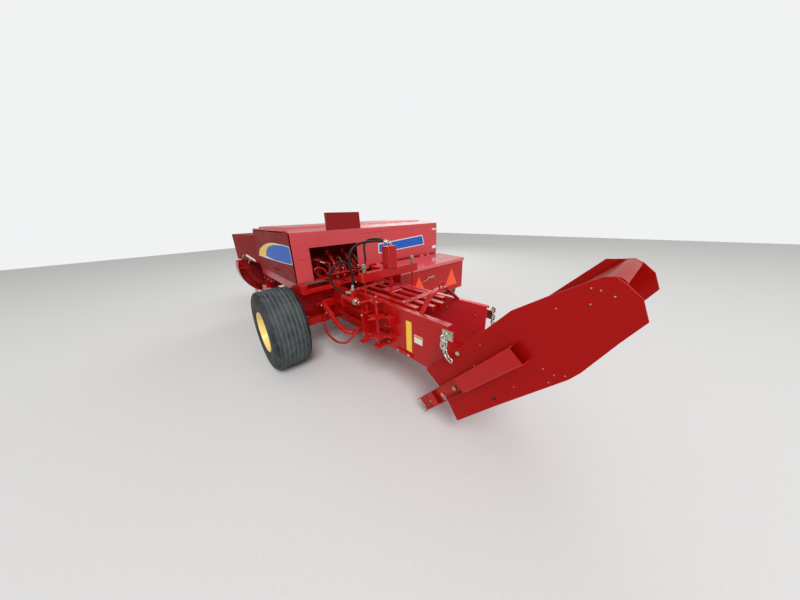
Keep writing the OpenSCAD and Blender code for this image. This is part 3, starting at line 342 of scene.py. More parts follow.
# Axle
# A square steel tube under the bale case with a welded end plate and spindle at each side,
# sprayed red with the rest of the machine after welding.
def enamel(name, colour, deep, dust_and_sky_reflection, wear_and_highlight, roughness, dust_and_reflection_amount, peel_height=0.00010, sheen=0.25):
    """Sprayed alkyd enamel: colour drifts slowly, and what faces up takes a pale colour that is partly
    dust and partly a painted sky reflection. Edges are painted pale, partly as rubbed wear and partly
    as a painted highlight, and the skin has an orange peel of about 3 mm with a slow wave under it."""
    material, tree, shader, place = empty_material(name)
    drift = add_node(tree, "ShaderNodeTexNoise", {"Vector": place, "Scale": 2.2, "Detail": 4.0,
                                                  "Roughness": 0.6})
    base = add_node(tree, "ShaderNodeMix", {0: drift.outputs["Fac"], 6: linear(colour),
                                            7: linear(deep)}, data_type="RGBA")
    # What faces up is mixed towards the dust colour: partly dust, partly a painted sky reflection.
    normal = add_node(tree, "ShaderNodeNewGeometry").outputs["Normal"]
    facing = add_node(tree, "ShaderNodeSeparateXYZ", {0: normal}).outputs["Z"]
    flat = add_node(tree, "ShaderNodeMapRange", {"Value": facing, "From Min": 0.2, "From Max": 1.0,
                                                 "To Min": 0.04, "To Max": 1.0})
    cloud = add_node(tree, "ShaderNodeTexNoise", {"Vector": place, "Scale": 11.0, "Detail": 7.0,
                                                  "Roughness": 0.68})
    patch = add_node(tree, "ShaderNodeMapRange", {"Value": cloud.outputs["Fac"], "From Min": 0.42,
                                                  "From Max": 0.72, "To Min": 0.0, "To Max": dust_and_reflection_amount})
    film = add_node(tree, "ShaderNodeMath", {0: flat.outputs[0], 1: patch.outputs[0]},
                    operation="MULTIPLY")
    dust_and_reflection_skin = add_node(tree, "ShaderNodeMix", {0: film.outputs[0], 6: base.outputs[2], 7: linear(dust_and_sky_reflection)},
                     data_type="RGBA")
    # Rounded edges are mixed towards the pale wear colour: partly rubbed wear, partly a painted
    # highlight.
    edge = add_node(tree, "ShaderNodeAttribute", attribute_name="edge").outputs["Fac"]
    chips = add_node(tree, "ShaderNodeTexNoise", {"Vector": place, "Scale": 34.0, "Detail": 5.0})
    rubbed_and_highlit = add_node(tree, "ShaderNodeMapRange", {"Value": chips.outputs["Fac"], "From Min": 0.46,
                                                   "From Max": 0.66, "To Min": 0.12, "To Max": 0.75})
    worn = add_node(tree, "ShaderNodeMath", {0: edge, 1: rubbed_and_highlit.outputs[0]}, operation="MULTIPLY")
    skin = add_node(tree, "ShaderNodeMix", {0: worn.outputs[0], 6: dust_and_reflection_skin.outputs[2], 7: linear(wear_and_highlight)},
                    data_type="RGBA")
    smear = add_node(tree, "ShaderNodeTexNoise", {"Vector": place, "Scale": 8.0, "Detail": 4.0})
    peel = add_node(tree, "ShaderNodeTexNoise", {"Vector": place, "Scale": 330.0, "Detail": 1.0})
    wave = add_node(tree, "ShaderNodeTexNoise", {"Vector": place, "Scale": 4.5, "Detail": 1.0})
    skin_height = add_node(tree, "ShaderNodeMath",
                           {0: wave.outputs["Fac"], 1: 9.0, 2: peel.outputs["Fac"]},
                           operation="MULTIPLY_ADD")
    lay_finish(tree, shader, skin, smear, (roughness - 0.05, roughness + 0.08), skin_height.outputs[0],
               0.5, peel_height)
    shader.inputs["Specular IOR Level"].default_value = sheen
    shader.inputs["Coat Weight"].default_value = sheen / 3
    shader.inputs["Coat Roughness"].default_value = 0.1
    return material


# Red enamel on sheet steel: gloss. The darker satin copy is painted shade for parts in shade; on
# castings: satin, rougher under the paint.
red_enamel = enamel("red_enamel_on_sheet_steel", "#bb0f0e", "#ad0b0a", "#b06a60", "#d8635a", 0.22, 0.22)
shaded_red_enamel = enamel("red_enamel_painted_dark_as_shade", "#8f0b0c", "#7f0809", "#7a3a30", "#a8443c", 0.36,
                     0.25)
cast_enamel = enamel("red_enamel_on_iron_casting", "#8c0c0d", "#780808", "#5f3a30", "#a8443c", 0.46,
                     0.5, 0.0005)
black_plastic = moulded("moulded_black_polyethylene", "#131415", "#26282a", 0.48, 2, 0.0001)
finish_of_slot = {"red_enamel": red_enamel, "dark_red_enamel": shaded_red_enamel, "cast_red": cast_enamel,
                  "zinc": zinc, "black_rubber": nitrile, "black_plastic": black_plastic}


def bevelled(bm, edges, width, clamp=False):
    """Rounds edges, and marks the points that lie on nothing but rounding, where a finish is rubbed and
    where enamel also gets a painted highlight.
    """
    fresh = set()
    if edges:
        fresh = set(bmesh.ops.bevel(bm, geom=edges, offset=width, segments=2, profile=0.5,
                                    affect="EDGES", clamp_overlap=clamp)["faces"])
    mark = bm.verts.layers.float.new("edge")
    for v in bm.verts:
        v[mark] = 1.0 if v.link_faces and all(f in fresh for f in v.link_faces) else 0.0


# A rounding needs so many of its own widths on the faces beside it, and on the edges at its ends.
face_room, edge_room = 2.3, 2.2


def ease_edges(bm, width, sharp_over, shortest):
    """Rounds the edges that are sharp, long enough, and lie between faces with room for it."""
    breadth = {f: f.calc_area() / max(e.calc_length() for e in f.edges) for f in bm.faces}
    sharp = [e for e in bm.edges if len(e.link_faces) == 2
             and e.calc_face_angle(0) >= radians(sharp_over)]
    chosen = [e for e in sharp if e.calc_length() >= shortest * width
              and min(breadth[f] for f in e.link_faces) >= face_room * width
              and min(x.calc_length() for v in e.verts for x in v.link_edges) >= edge_room * width]
    bevelled(bm, chosen, width)


# The source's triangles that lie within this angle of each other are one flat.
flat_within = radians(0.7)


def rounded(node, width=1.6, finish=None, other=None, weld=0.02):
    """A copy of a CAD node that stands for it: its triangles merged into flats, its long edges
    rounded, and a second finish where a test on a face's place says so."""
    bm = bmesh.new()
    bm.from_mesh(frame["nodes"][node].data)
    bmesh.ops.remove_doubles(bm, verts=bm.verts, dist=weld / 1000)
    bmesh.ops.dissolve_degenerate(bm, dist=0.00001, edges=bm.edges)
    bmesh.ops.dissolve_limit(bm, angle_limit=flat_within, verts=bm.verts, edges=bm.edges)
    ease_edges(bm, width / 1000, 26, 3)
    mesh = bpy.data.meshes.new(node + "_shape")
    mesh.materials.append(finish or finish_of_slot[slot_of_node[node]])
    if other:
        mesh.materials.append(other[0])
        for f in bm.faces:
            f.material_index = 1 if other[1](f.calc_center_median() * 1000) else 0
    bm.to_mesh(mesh)
    bm.free()
    draft = piece_of(node + "_draft", mesh, None, body_of_node[node])
    draft.modifiers.new("flat_shading", "WEIGHTED_NORMAL").keep_sharp = True
    done = bpy.data.meshes.new_from_object(draft.evaluated_get(bpy.context.evaluated_depsgraph_get()))
    bpy.data.objects.remove(draft)
    piece = bpy.data.objects.new(node + "_finished", done)
    scene.collection.objects.link(piece)
    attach(piece, body_of_node[node])
    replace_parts(piece, node)
    return piece


rounded("axle", 5)


# Tyres
# Black natural rubber flotation tyres with seven plain ribs, weathered grey on the tread and
# still dark on the side walls, seated on the rims' flanges.
def turned(name, outline, centre, material, body, steps=144, marks=None):
    """A closed outline of radius and place along the axle, in millimetres, turned about the axle."""
    cx, cy, cz = centre
    verts = [at(cx + x, cy + r * sin(2 * pi * i / steps), cz + r * cos(2 * pi * i / steps))
             for i in range(steps) for r, x in outline]
    n = len(outline)
    faces = [(i * n + k, i * n + (k + 1) % n, ((i + 1) % steps) * n + (k + 1) % n,
              ((i + 1) % steps) * n + k) for i in range(steps) for k in range(n)]
    mesh = bpy.data.meshes.new(name)
    mesh.from_pydata([tuple(v) for v in verts], [], faces)
    if marks:
        layer = mesh.attributes.new("edge", "FLOAT", "POINT")
        layer.data.foreach_set("value", [marks[k] for i in range(steps) for k in range(n)])
    outward(mesh)
    return piece_of(name, mesh, material, body)


def tyre_outline(radius, width, rim_radius, ribs=7, groove=7, depth=7):
    """Half rounded side walls with a raised bead ring, a crowned tread and its grooves."""
    half = [(0.45, 0), (0.456, 0.03), (0.462, 0.08), (0.471, 0.18), (0.483, 0.20), (0.489, 0.30),
            (0.5, 0.5), (0.495, 0.66), (0.487, 0.70), (0.492, 0.72), (0.475, 0.82), (0.445, 0.92),
            (0.412, 0.965), (0.385, 0.985)]
    wall = [(rim_radius + b * (radius - rim_radius), a * width) for a, b in half]
    smooth = [(p.x, p.y) for p in through([(a, b, 0) for a, b in wall], 3)[:-1]]
    half_tread, tread_edge, last_crown, shoulder_drop = width * 0.38, width * 0.372, width * 0.33, 5.5
    step = 2 * half_tread / ribs

    def crown(x):
        """The tread's radius at a place across it, less towards its shoulders."""
        return radius - shoulder_drop * (x / half_tread) ** 2

    outline = [(a, -b, 0.0) for a, b in smooth] + [(crown(tread_edge), -tread_edge, 0.4)]
    for i in range(1, ribs):
        x = -half_tread + i * step
        top = crown(x)
        outline += [(crown(x - step / 2), x - step / 2, 0.1), (top, x - groove / 2 - 2, 0.3),
                    (top - 1.5, x - groove / 2, 1.0), (top - depth, x - groove / 2 + 1.5, 0.9),
                    (top - depth, x + groove / 2 - 1.5, 0.9), (top - 1.5, x + groove / 2, 1.0),
                    (top, x + groove / 2 + 2, 0.3)]
    outline += [(crown(last_crown), last_crown, 0.1), (crown(tread_edge), tread_edge, 0.4)]
    outline += [(a, b, 0.0) for a, b in reversed(smooth)]
    return [(a, b) for a, b, m in outline], [m for a, b, m in outline]


# Weathered rubber: nearly black in the grooves, matt grey where it is worn and dusty.
tyre_rubber = moulded("weathered_tyre_rubber", "#14181a", "#747d7f", 0.66, 6, 0.0005)
bead_radius = 204
# Each wheel's centre, its tyre's radius and width, and the way that its outer side looks.
wheels = {"left": ((-766, 1647, 400), 400, 346, -1), "right": ((1640, 1647, 345), 345, 240, 1)}
for hand, (centre, radius, width, out) in wheels.items():
    outline, marks = tyre_outline(radius, width, bead_radius)
    tyre = turned(hand + "_tyre_rubber", outline, centre, tyre_rubber, hand + "_wheel",
                  160, marks)
    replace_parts(tyre, hand + "_tyre")

# Rims
# Pressed steel rims with a welded dish, sprayed deep yellow, held by six zinc nuts on the
# hub, with a rubber valve through a hole in the dish.

# The rims' enamel: warm light yellow, glossy, with a little dust colour on what faces up, partly dust
# and partly a painted sky reflection.
yellow_enamel = enamel("yellow_enamel_on_pressed_rim", "#fbdf8c", "#f7d577", "#c7b78c", "#e6d29a", 0.3,
                       0.30)


def empty_tree(name, kinds):
    """A Geometry Nodes tree with named inputs, their identifiers, and their sockets inside."""
    tree = bpy.data.node_groups.new(name, "GeometryNodeTree")
    names = {}
    for label, kind in kinds.items():
        made = tree.interface.new_socket(name=label, in_out="INPUT", socket_type="NodeSocket" + kind)
        names[label] = made.identifier
    tree.interface.new_socket(name="Result", in_out="OUTPUT", socket_type="NodeSocketGeometry")
    return tree, names, add_node(tree, "NodeGroupInput").outputs


def set_out(tree, given, thing, rotation):
    """Ends a tree: the thing stands at each place, turned, is made real and gets its finish."""
    placed = add_node(tree, "GeometryNodeInstanceOnPoints", {"Points": given["Places"],
                                                             "Instance": thing, "Rotation": rotation})
    real = add_node(tree, "GeometryNodeRealizeInstances", {"Geometry": placed.outputs[0]})
    painted = add_node(tree, "GeometryNodeSetMaterial",
                       {"Geometry": real.outputs[0], "Material": given["Finish"]})
    add_node(tree, "NodeGroupOutput", {0: painted.outputs[0]})


def run_tree(tree, names, places, attribute, vectors, settings):
    """The plain mesh that a tree makes of places in metres with a vector at each."""
    mesh = bpy.data.meshes.new("places")
    mesh.from_pydata([tuple(p) for p in places], [], [])
    mesh.attributes.new(attribute, "FLOAT_VECTOR", "POINT").data.foreach_set("vector", vectors)
    holder = bpy.data.objects.new("places", mesh)
    scene.collection.objects.link(holder)
    modifier = holder.modifiers.new("tree", "NODES")
    modifier.node_group = tree
    for label, value in settings.items():
        modifier[names[label]] = value
    made = bpy.data.meshes.new_from_object(holder.evaluated_get(bpy.context.evaluated_depsgraph_get()))
    holder.modifiers.remove(modifier)
    bpy.data.objects.remove(holder)
    return made


# A hexagon head with its washer and threaded end at each point, aimed along the point's aim and
# turned by chance about it.
fastener_tree, fastener_inputs, given = empty_tree("hexagon_fasteners", {
    "Places": "Geometry", "Across Corners": "Float", "Head Height": "Float", "Washer Width": "Float",
    "Turn Seed": "Int", "Finish": "Material"})
head = add_node(fastener_tree, "GeometryNodeMeshCylinder",
                {"Vertices": 6, "Radius": given["Across Corners"], "Depth": given["Head Height"]})
rise = add_node(fastener_tree, "ShaderNodeMath", {0: given["Head Height"], 1: 0.65},
                operation="MULTIPLY")
lift = add_node(fastener_tree, "ShaderNodeCombineXYZ", {"Z": rise.outputs[0]})
washer = add_node(fastener_tree, "GeometryNodeMeshCylinder",
                  {"Vertices": 20, "Radius": given["Washer Width"], "Depth": 0.0022})
shank = add_node(fastener_tree, "ShaderNodeMath", {0: given["Across Corners"], 1: 0.5},
                 operation="MULTIPLY")
tall = add_node(fastener_tree, "ShaderNodeMath", {0: given["Head Height"], 1: 1.5},
                operation="MULTIPLY")
neck = add_node(fastener_tree, "GeometryNodeMeshCylinder", {"Vertices": 12, "Radius": shank.outputs[0],
                                                            "Depth": tall.outputs[0]})
head_up, neck_up = [add_node(fastener_tree, "GeometryNodeTransform", {
    "Geometry": part.outputs["Mesh"], "Translation": lift.outputs[0]}) for part in (head, neck)]
fastener = add_node(fastener_tree, "GeometryNodeJoinGeometry")
for socket in (head_up.outputs["Geometry"], washer.outputs["Mesh"], neck_up.outputs["Geometry"]):
    fastener_tree.links.new(socket, fastener.inputs[0])
aim = add_node(fastener_tree, "GeometryNodeInputNamedAttribute", {"Name": "aim"},
               data_type="FLOAT_VECTOR")
aimed = add_node(fastener_tree, "FunctionNodeAlignRotationToVector",
                 {"Vector": aim.outputs["Attribute"]}, axis="Z")
full_turn = 6.283
chance = add_node(fastener_tree, "FunctionNodeRandomValue", {"Seed": given["Turn Seed"], 3: full_turn},
                  data_type="FLOAT")
spin = add_node(fastener_tree, "FunctionNodeAxisAngleToRotation",
                {"Axis": (0, 0, 1), "Angle": chance.outputs[1]})
turned_by = add_node(fastener_tree, "FunctionNodeRotateRotation", {
    "Rotation": aimed.outputs[0], "Rotate By": spin.outputs[0]}, rotation_space="LOCAL")
set_out(fastener_tree, given, fastener.outputs[0], turned_by.outputs[0])


def bolted(name, places, body, across=9.0, head=6.5, washer=11.5, finish=None, seed=7):
    """Bolts at places in millimetres, each with the way that its head points, in one piece."""
    settings = {"Across Corners": across / 1000, "Head Height": head / 1000,
                "Washer Width": washer / 1000, "Turn Seed": seed, "Finish": finish or zinc}
    made = run_tree(fastener_tree, fastener_inputs, [at(*p[:3]) for p in places], "aim",
                    [c for p in places for c in p[3:6]], settings)
    return piece_of(name, made, None, body, 25)


flange_share, seat_share, dish_depth = 0.45, 0.39, 58
nut_circle, valve_circle, valve_turn = 88, 148, 0.62
# Barrel, dish and hub: radius, and place along the axle, counted outwards for dish and hub.
for hand, (centre, radius, width, out) in wheels.items():
    cx, cy, cz = centre
    half = width * flange_share
    seat = width * seat_share - dish_depth
    bore = 30.5 if hand == "left" else 26.5
    barrel = [(186, -half - 5), (192, -half - 7), (200, -half - 7), (204, -half - 4), (204, -half + 2),
              (199, -half + 10), (199, half - 10), (204, half - 2), (204, half + 4), (200, half + 7),
              (192, half + 7), (186, half + 5), (183, half - 4), (181, half - 22), (176, half - 32),
              (176, -half + 32), (181, -half + 22), (183, -half + 4)]
    dish = [(70, 20), (104, 20), (110, 18), (116, 11), (126, 4), (150, -4), (168, -8), (177, -6),
            (178, -20), (166, -20), (148, -16), (124, -8), (110, 3), (106, 8), (70, 8)]
    hub = [(bore, -70), (bore + 21.5, -70), (bore + 23.5, -68), (bore + 23.5, seat + 8), (72, seat + 8),
           (72, seat + 20), (36, seat + 20), (33, seat + 18), (4, seat + 18), (4, seat + 8),
           (bore, seat + 8)]
    for part, outline, steps in (("_rim_barrel", barrel, 144),
                                 ("_rim_dish", [(a, out * (b + seat)) for a, b in dish], 96),
                                 ("_hub", [(a, out * b) for a, b in hub], 72)):
        piece = turned(hand + part, outline, centre, yellow_enamel, hand + "_wheel",
                       steps)
    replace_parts(piece, hand + "_rim")
    nuts = [(cx + out * (seat + 20.5), cy + nut_circle * sin(a), cz + nut_circle * cos(a), out, 0, 0)
            for a in [0.3 + 2 * pi * i / 6 for i in range(6)]]
    bolted(hand + "_wheel_nuts", nuts, hand + "_wheel", 13, 9, 15)
    spot = (cy - valve_circle * cos(valve_turn), cz - valve_circle * sin(valve_turn))
    valve = [swept([at(cx + out * (seat + x), *spot) for x in (-16, 1)], [0.011, 0.009], 20),
             swept([at(cx + out * (seat + x), *spot) for x in (-2, 18, 26)], [0.0055, 0.0048, 0.003],
                   16)]
    piece_of(hand + "_valve", joined(valve), nitrile, hand + "_wheel")

# Bale case
# Two side plates, a floor and a front plate of rolled steel, folded out along the top and
# bolted to angle stiffeners, then sprayed inside and out. The right wall is painted light as painted
# sky light.
sky_lit_wall_enamel = enamel("red_enamel_painted_light_as_sky_lit_wall", "#e4343c", "#da2c34", "#d07672", "#ee7a74",
                       0.22, 0.14, sheen=0.4)
rounded("case_left_wall")
# The right wall takes a lighter enamel, as painted sky light.
rounded("case_right_wall", finish=sky_lit_wall_enamel)
rounded("case_floor")
rounded("case_front_plate")
rounded("case_frame", 2.2)


def box_of(x, y, z):
    """A box of eight corners between limits in millimetres."""
    verts = [at(x[i], y[j], z[k]) for i in (0, 1) for j in (0, 1) for k in (0, 1)]
    return verts, [(0, 1, 3, 2), (4, 6, 7, 5), (0, 4, 5, 1), (2, 3, 7, 6), (0, 2, 6, 4), (1, 5, 7, 3)]


def eased(name, parts, material, body, width=2.0):
    """Parts joined in one mesh, their long edges rounded with the mark for wear and painted highlight
    left on them.
    """
    mesh = joined(parts)
    bm = bmesh.new()
    bm.from_mesh(mesh)
    ease_edges(bm, width / 1000, 40, 0)
    bm.to_mesh(mesh)
    bm.free()
    return piece_of(name, mesh, material, body)


# The plunger's face stands at rest half way down the case: three plates with slots for the
# needles between them, on five cross bars. It closes the view through the case.
plunger = [box_of((left, right), (1560, 1572), (422, 772))
           for left, right in ((-221, -124), (-100, 100), (124, 221))]
plunger += [box_of((-221, 221), (1571, 1600), (low, low + 52)) for low in (430, 500, 570, 640, 716)]
# The plunger face takes the darker enamel, as painted shade.
eased("plunger_face", plunger, shaded_red_enamel, "chassis", 1.0)
eased("case_floor_lip", [box_of((-223, 223), (92, 150), (413.5, 418))], red_enamel, "chassis",
      0.8)

left_face = -230.0
wall_bolts = [(left_face, y, z, -1, 0, 0)
              for y, z in ((560, 452), (690, 560), (1100, 690), (1260, 690))]
wall_bolts += [(-246, y, 438, -1, 0, 0) for y in (312, 428)]
wall_bolts += [(-247, y, z + 8, -1, 0, 0) for z in (500, 612) for y in (960, 1080, 1200, 1320)]
bolted("case_left_bolts", wall_bolts, "chassis", 7.5, 5.5, 10.5)
inner_bolts = [(224, y, z, -1, 0, 0)
               for y, z in ((60, 560), (60, 690), (200, 740), (330, 690), (470, 740))]
bolted("case_right_bolts", inner_bolts, "chassis", 6.5, 4, 9)


def flat_plate(name, outline, thick, out, material, body, bulge=0.0):
    """A thin plate from its corners in millimetres, counted round, standing out along a direction."""
    out = Vector(out).normalized()
    corners = [at(*p) for p in outline]
    bm = bmesh.new()
    face = bm.faces.new([bm.verts.new(c) for c in corners])
    made = bmesh.ops.extrude_face_region(bm, geom=[face])
    bmesh.ops.translate(bm, verts=[g for g in made["geom"] if isinstance(g, bmesh.types.BMVert)],
                        vec=out * thick / 1000)
    bmesh.ops.recalc_face_normals(bm, faces=bm.faces)
    if bulge:
        rim = [e for e in bm.edges if all((v.co - corners[0]).dot(out) > thick / 2000 for v in e.verts)]
        bevelled(bm, rim, bulge / 1000, True)
    mesh = bpy.data.meshes.new(name)
    bm.to_mesh(mesh)
    bm.free()
    return piece_of(name, mesh, material, body, 20)


def rounded_corners(corners, radius, steps=4):
    """The outline of a flat shape with its corners rounded, from corners in two coordinates."""
    points = []
    for i, p in enumerate(corners):
        p = Vector(p)
        before = Vector(corners[i - 1]) - p
        after = Vector(corners[(i + 1) % len(corners)]) - p
        r = min(radius, before.length * 0.45, after.length * 0.45)
        a, b = p + before.normalized() * r, p + after.normalized() * r
        for k in range(steps + 1):
            t = k / steps
            points.append((1 - t) ** 2 * a + 2 * t * (1 - t) * p + t * t * b)
    return points


# Films and labels
# Printed vinyl stuck on the paint: a yellow strip, a white label with an orange head and a
# small tag on the left wall. All are blank, and their corners are rounded.
def vinyl(name, colour, faded, roughness=0.32):
    """Printed vinyl film: an even colour, a little faded in clouds, over a fine leathery embossing."""
    material, tree, shader, place = empty_material(name)
    cloud = add_node(tree, "ShaderNodeTexNoise", {"Vector": place, "Scale": 16.0, "Detail": 4.0})
    edge = add_node(tree, "ShaderNodeAttribute", attribute_name="edge").outputs["Fac"]
    age = add_node(tree, "ShaderNodeMath", {0: edge, 1: 0.5, 2: cloud.outputs["Fac"]},
                   operation="MULTIPLY_ADD", use_clamp=True)
    tint = add_node(tree, "ShaderNodeMix", {0: age.outputs[0], 6: linear(colour), 7: linear(faded)},
                    data_type="RGBA")
    emboss = add_node(tree, "ShaderNodeTexNoise", {"Vector": place, "Scale": 600.0, "Detail": 1.0})
    lay_finish(tree, shader, tint, cloud, (roughness - 0.05, roughness + 0.08), emboss.outputs["Fac"],
               0.3, 0.00006)
    shader.inputs["Specular IOR Level"].default_value = 0.12
    return material


yellow_vinyl = vinyl("reflective_yellow_vinyl", "#ffd84e", "#f6c63f", 0.28)
white_vinyl = vinyl("white_vinyl_label", "#f0efec", "#dcdad4")
orange_vinyl = vinyl("orange_vinyl_label", "#ef8a2c", "#dd7a24")
blue_vinyl = vinyl("blue_vinyl_film", "#1f5cc2", "#3470c8")


def oblong(a0, a1, b0, b1):
    """The four corners of an oblong between two limits each way, counted round."""
    return [(a0, b0), (a1, b0), (a1, b1), (a0, b1)]


for name, limits, corner, out, thick, vinyl_film, bulge in (
        ("yellow_strip", (287, 344, 466, 712), 3, 0.0, 0.5, yellow_vinyl, 0.3),
        ("side_label", (181, 262, 564, 628), 3, 0.0, 0.4, white_vinyl, 0.2),
        ("side_label_head", (184, 259, 610, 625), 2, 0.4, 0.2, orange_vinyl, 0.1),
        ("small_yellow_tag", (1118, 1150, 640, 668), 2, 0.0, 0.4, yellow_vinyl, 0.2)):
    flat_plate(name, [(left_face - out, p[0], p[1]) for p in rounded_corners(oblong(*limits), corner)],
               thick, (-1, 0, 0), vinyl_film, "chassis", bulge)

# Side of the case
# The bale counter's star wheels and bearings, the small oil pump with its port block, the
# needle arm bent from thick bar with its guard rod, and stand-off brackets, all welded steel.
rounded("side_mechanism", 1.4)
rounded("metering_star", 1.2)


def bend_round(corners, radius, steps=6):
    """A path in millimetres through corners that are rounded to a bending radius."""
    path = [Vector(corners[0])]
    for i in range(1, len(corners) - 1):
        p = Vector(corners[i])
        before, after = Vector(corners[i - 1]) - p, Vector(corners[i + 1]) - p
        r = min(radius, before.length * 0.48, after.length * 0.48)
        a, b = p + before.normalized() * r, p + after.normalized() * r
        path += [(1 - k / steps) ** 2 * a + 2 * (k / steps) * (1 - k / steps) * p + (k / steps) ** 2 * b
                 for k in range(steps + 1)]
    return [at(*q) for q in path + [Vector(corners[-1])]]


yoke_x = -340
yoke = [swept(bend_round([(yoke_x, 1400, 530), (yoke_x, 1300, 455), (yoke_x + 5, 1200, 404),
                          (yoke_x + 20, 1120, 376), (yoke_x + 60, 1080, 364), (-229, 1070, 362),
                          (270, 1070, 362)], 60), 0.024, 28),
        swept([at(yoke_x, 1560, 596), at(yoke_x, 1340, 484)], 0.033, 28),
        swept([at(-410, 1530, 582), at(-340, 1530, 582)], 0.012, 16),
        box_of((yoke_x - 20, -230), (1480, 1540), (540, 620))]
for x in (-95, 95):
    needle = through([at(x, 1070, 362), at(x, 1180, 300), at(x, 1300, 300), at(x, 1390, 352)], 6)
    yoke.append(swept(needle, [0.014 - 0.006 * i / (len(needle) - 1) for i in range(len(needle))], 14))
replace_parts(eased("needle_yoke_bar", yoke, red_enamel, "chassis"), "needle_yoke")
guard = [swept(bend_round([(-318, 1585, 430), (-350, 1560, 257), (-350, 1440, 204), (-350, 1264, 208),
                           (-350, 1079, 273), (-348, 960, 380), (-290, 920, 470)], 70), 0.0115, 20),
         box_of((-330, -230), (1568, 1602), (420, 440)), box_of((-300, -230), (905, 935), (462, 478))]
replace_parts(eased("needle_guard_rod", guard, red_enamel, "chassis"), "needle_guard")
# Heads on the needle arm's clamp, the star wheels' shaft and bearing, and the stand-off plate.
clamp = [(-373, y, z, -1, 0, 0) for y, z in ((1395, 512), (1500, 566))]
clamp += [(x, y, z, 0, 0, 1) for x, y, z in ((-300, 600, 852), (-316, 572, 818), (-316, 628, 818))]
clamp += [(-314, 809, z, -1, 0, 0) for z in (640, 460)]
bolted("side_bolts", clamp, "chassis", 8, 6, 12)
pump_ring = swept([at(-360, y, 778) for y in (797, 799, 806, 808)], [0.026, 0.0315, 0.0315, 0.0302], 32)
piece_of("pump_end_ring", joined([pump_ring]), zinc, "chassis")
rod_end = [swept([at(-360, y, 778) for y in (746, 748, 760, 762)], [0.0135, 0.0155, 0.0155, 0.0142], 6),
           swept([at(-360, y, 778) for y in (776, 778, 790, 792)], [0.0225, 0.0245, 0.0245, 0.0225],
                 24)]
piece_of("pump_gland", joined(rod_end), zinc, "chassis")


# Density gear
# Four pressed bars over the chamber pulled down by a hydraulic cylinder in a welded square
# tower on a hollow beam, which two plated studs with coil springs tie to the walls.
rounded("density_rails", 3)
rounded("density_beam", 7)
rounded("density_cylinder", 4, None, (zinc, lambda place: place.z > 1190.5))
rounded("hay_arch", 2)


def spring(x, y, low, high, r, wire, coils, per_turn=14):
    """A coil spring that stands between two heights, its end turns closed flat."""
    steps = coils * per_turn
    line = []
    for i in range(steps + 1):
        a = 2 * pi * i / per_turn
        rise = min(max((i - per_turn / 2) / (steps - per_turn), 0), 1)
        line.append(at(x + r * cos(a), y + r * sin(a), low + wire + (high - low - 2 * wire) * rise))
    return swept(line, wire / 1000, 8)


stud_y = 780
thread_pitch, thread_crest, thread_root, thread_rings = 2.3, 0.0087, 0.0078, 64
stud_parts, painted_parts, springs = [], [], []
for x in (-270, 270):
    thread = [at(x, stud_y, 1003 + i * thread_pitch / 2) for i in range(thread_rings)]
    radii = [thread_crest if i % 2 else thread_root for i in range(thread_rings)]
    painted_parts.append(swept([at(x, stud_y, 660), at(x, stud_y, 940)], 0.009, 20))
    stud_parts.append(swept([at(x, stud_y, 940), at(x, stud_y, 1003)], 0.009, 20))
    stud_parts.append(swept(thread, radii, 18))
    springs.append(spring(x, stud_y, 1004, 1050, 14.5, 2.6, 6))
    for z0, z1, r, n in ((1050, 1053, 17, 24), (1053, 1064, 14, 6), (1065, 1073, 14, 6)):
        stud_parts.append(swept([at(x, stud_y, z0), at(x, stud_y, z1)], r / 1000, n))
    lug = (-284, -230) if x < 0 else (230, 284)
    painted_parts.append(box_of(lug, (762, 798), (640, 660)))
studs = piece_of("density_studs_plated", joined(stud_parts), zinc, "chassis")
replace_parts(studs, "density_studs")
piece_of("density_stud_rods", joined(painted_parts), red_enamel, "chassis")
# Plated spring wire is duller and browner than plated bolts.
spring_steel = plated("zinc_plated_spring_wire", "#cfc8b0", "#8f8668", 0.4)
piece_of("density_springs", joined(springs), spring_steel, "chassis")
beam_bolts = [(x, 450, 806, 0, 0, 1) for x in (-150, -50, 50, 150)]
beam_bolts += [(x, 1030, 806, 0, 0, 1) for x in (-190, -100, 0, 100, 190)]
bolted("density_bolts", beam_bolts, "chassis", 7.5, 6, 10.5, seed=3)

# Knotters
# Two cast iron knotters on one shaft: frame, twine discs, bill hook, tucker and knife arm,
# with cam gears, worm shafts, oilers and short pull springs, painted red over the castings.
def wire_ring(centre, r, wire, turns=24, sides=10):
    """A round ring of wire that stands across the machine, about a place in millimetres."""
    cx, cy, cz = centre
    turn = [2 * pi * i / turns for i in range(turns + 1)]
    return swept([at(cx, cy + r * sin(a), cz + r * cos(a)) for a in turn], wire / 1000, sides)


rounded("knotter_table", 1.5)
rounded("knotters", 1.2)
rounded("knotter_shaft", 1.2)
shaft_y, shaft_z = 1740, 1010
knotter_xs = (-95, 95)
gear_teeth, gear_radius = 26, 104
pull_coils, pull_steps = 14, 12
gear, bright, pulls = [], [], []
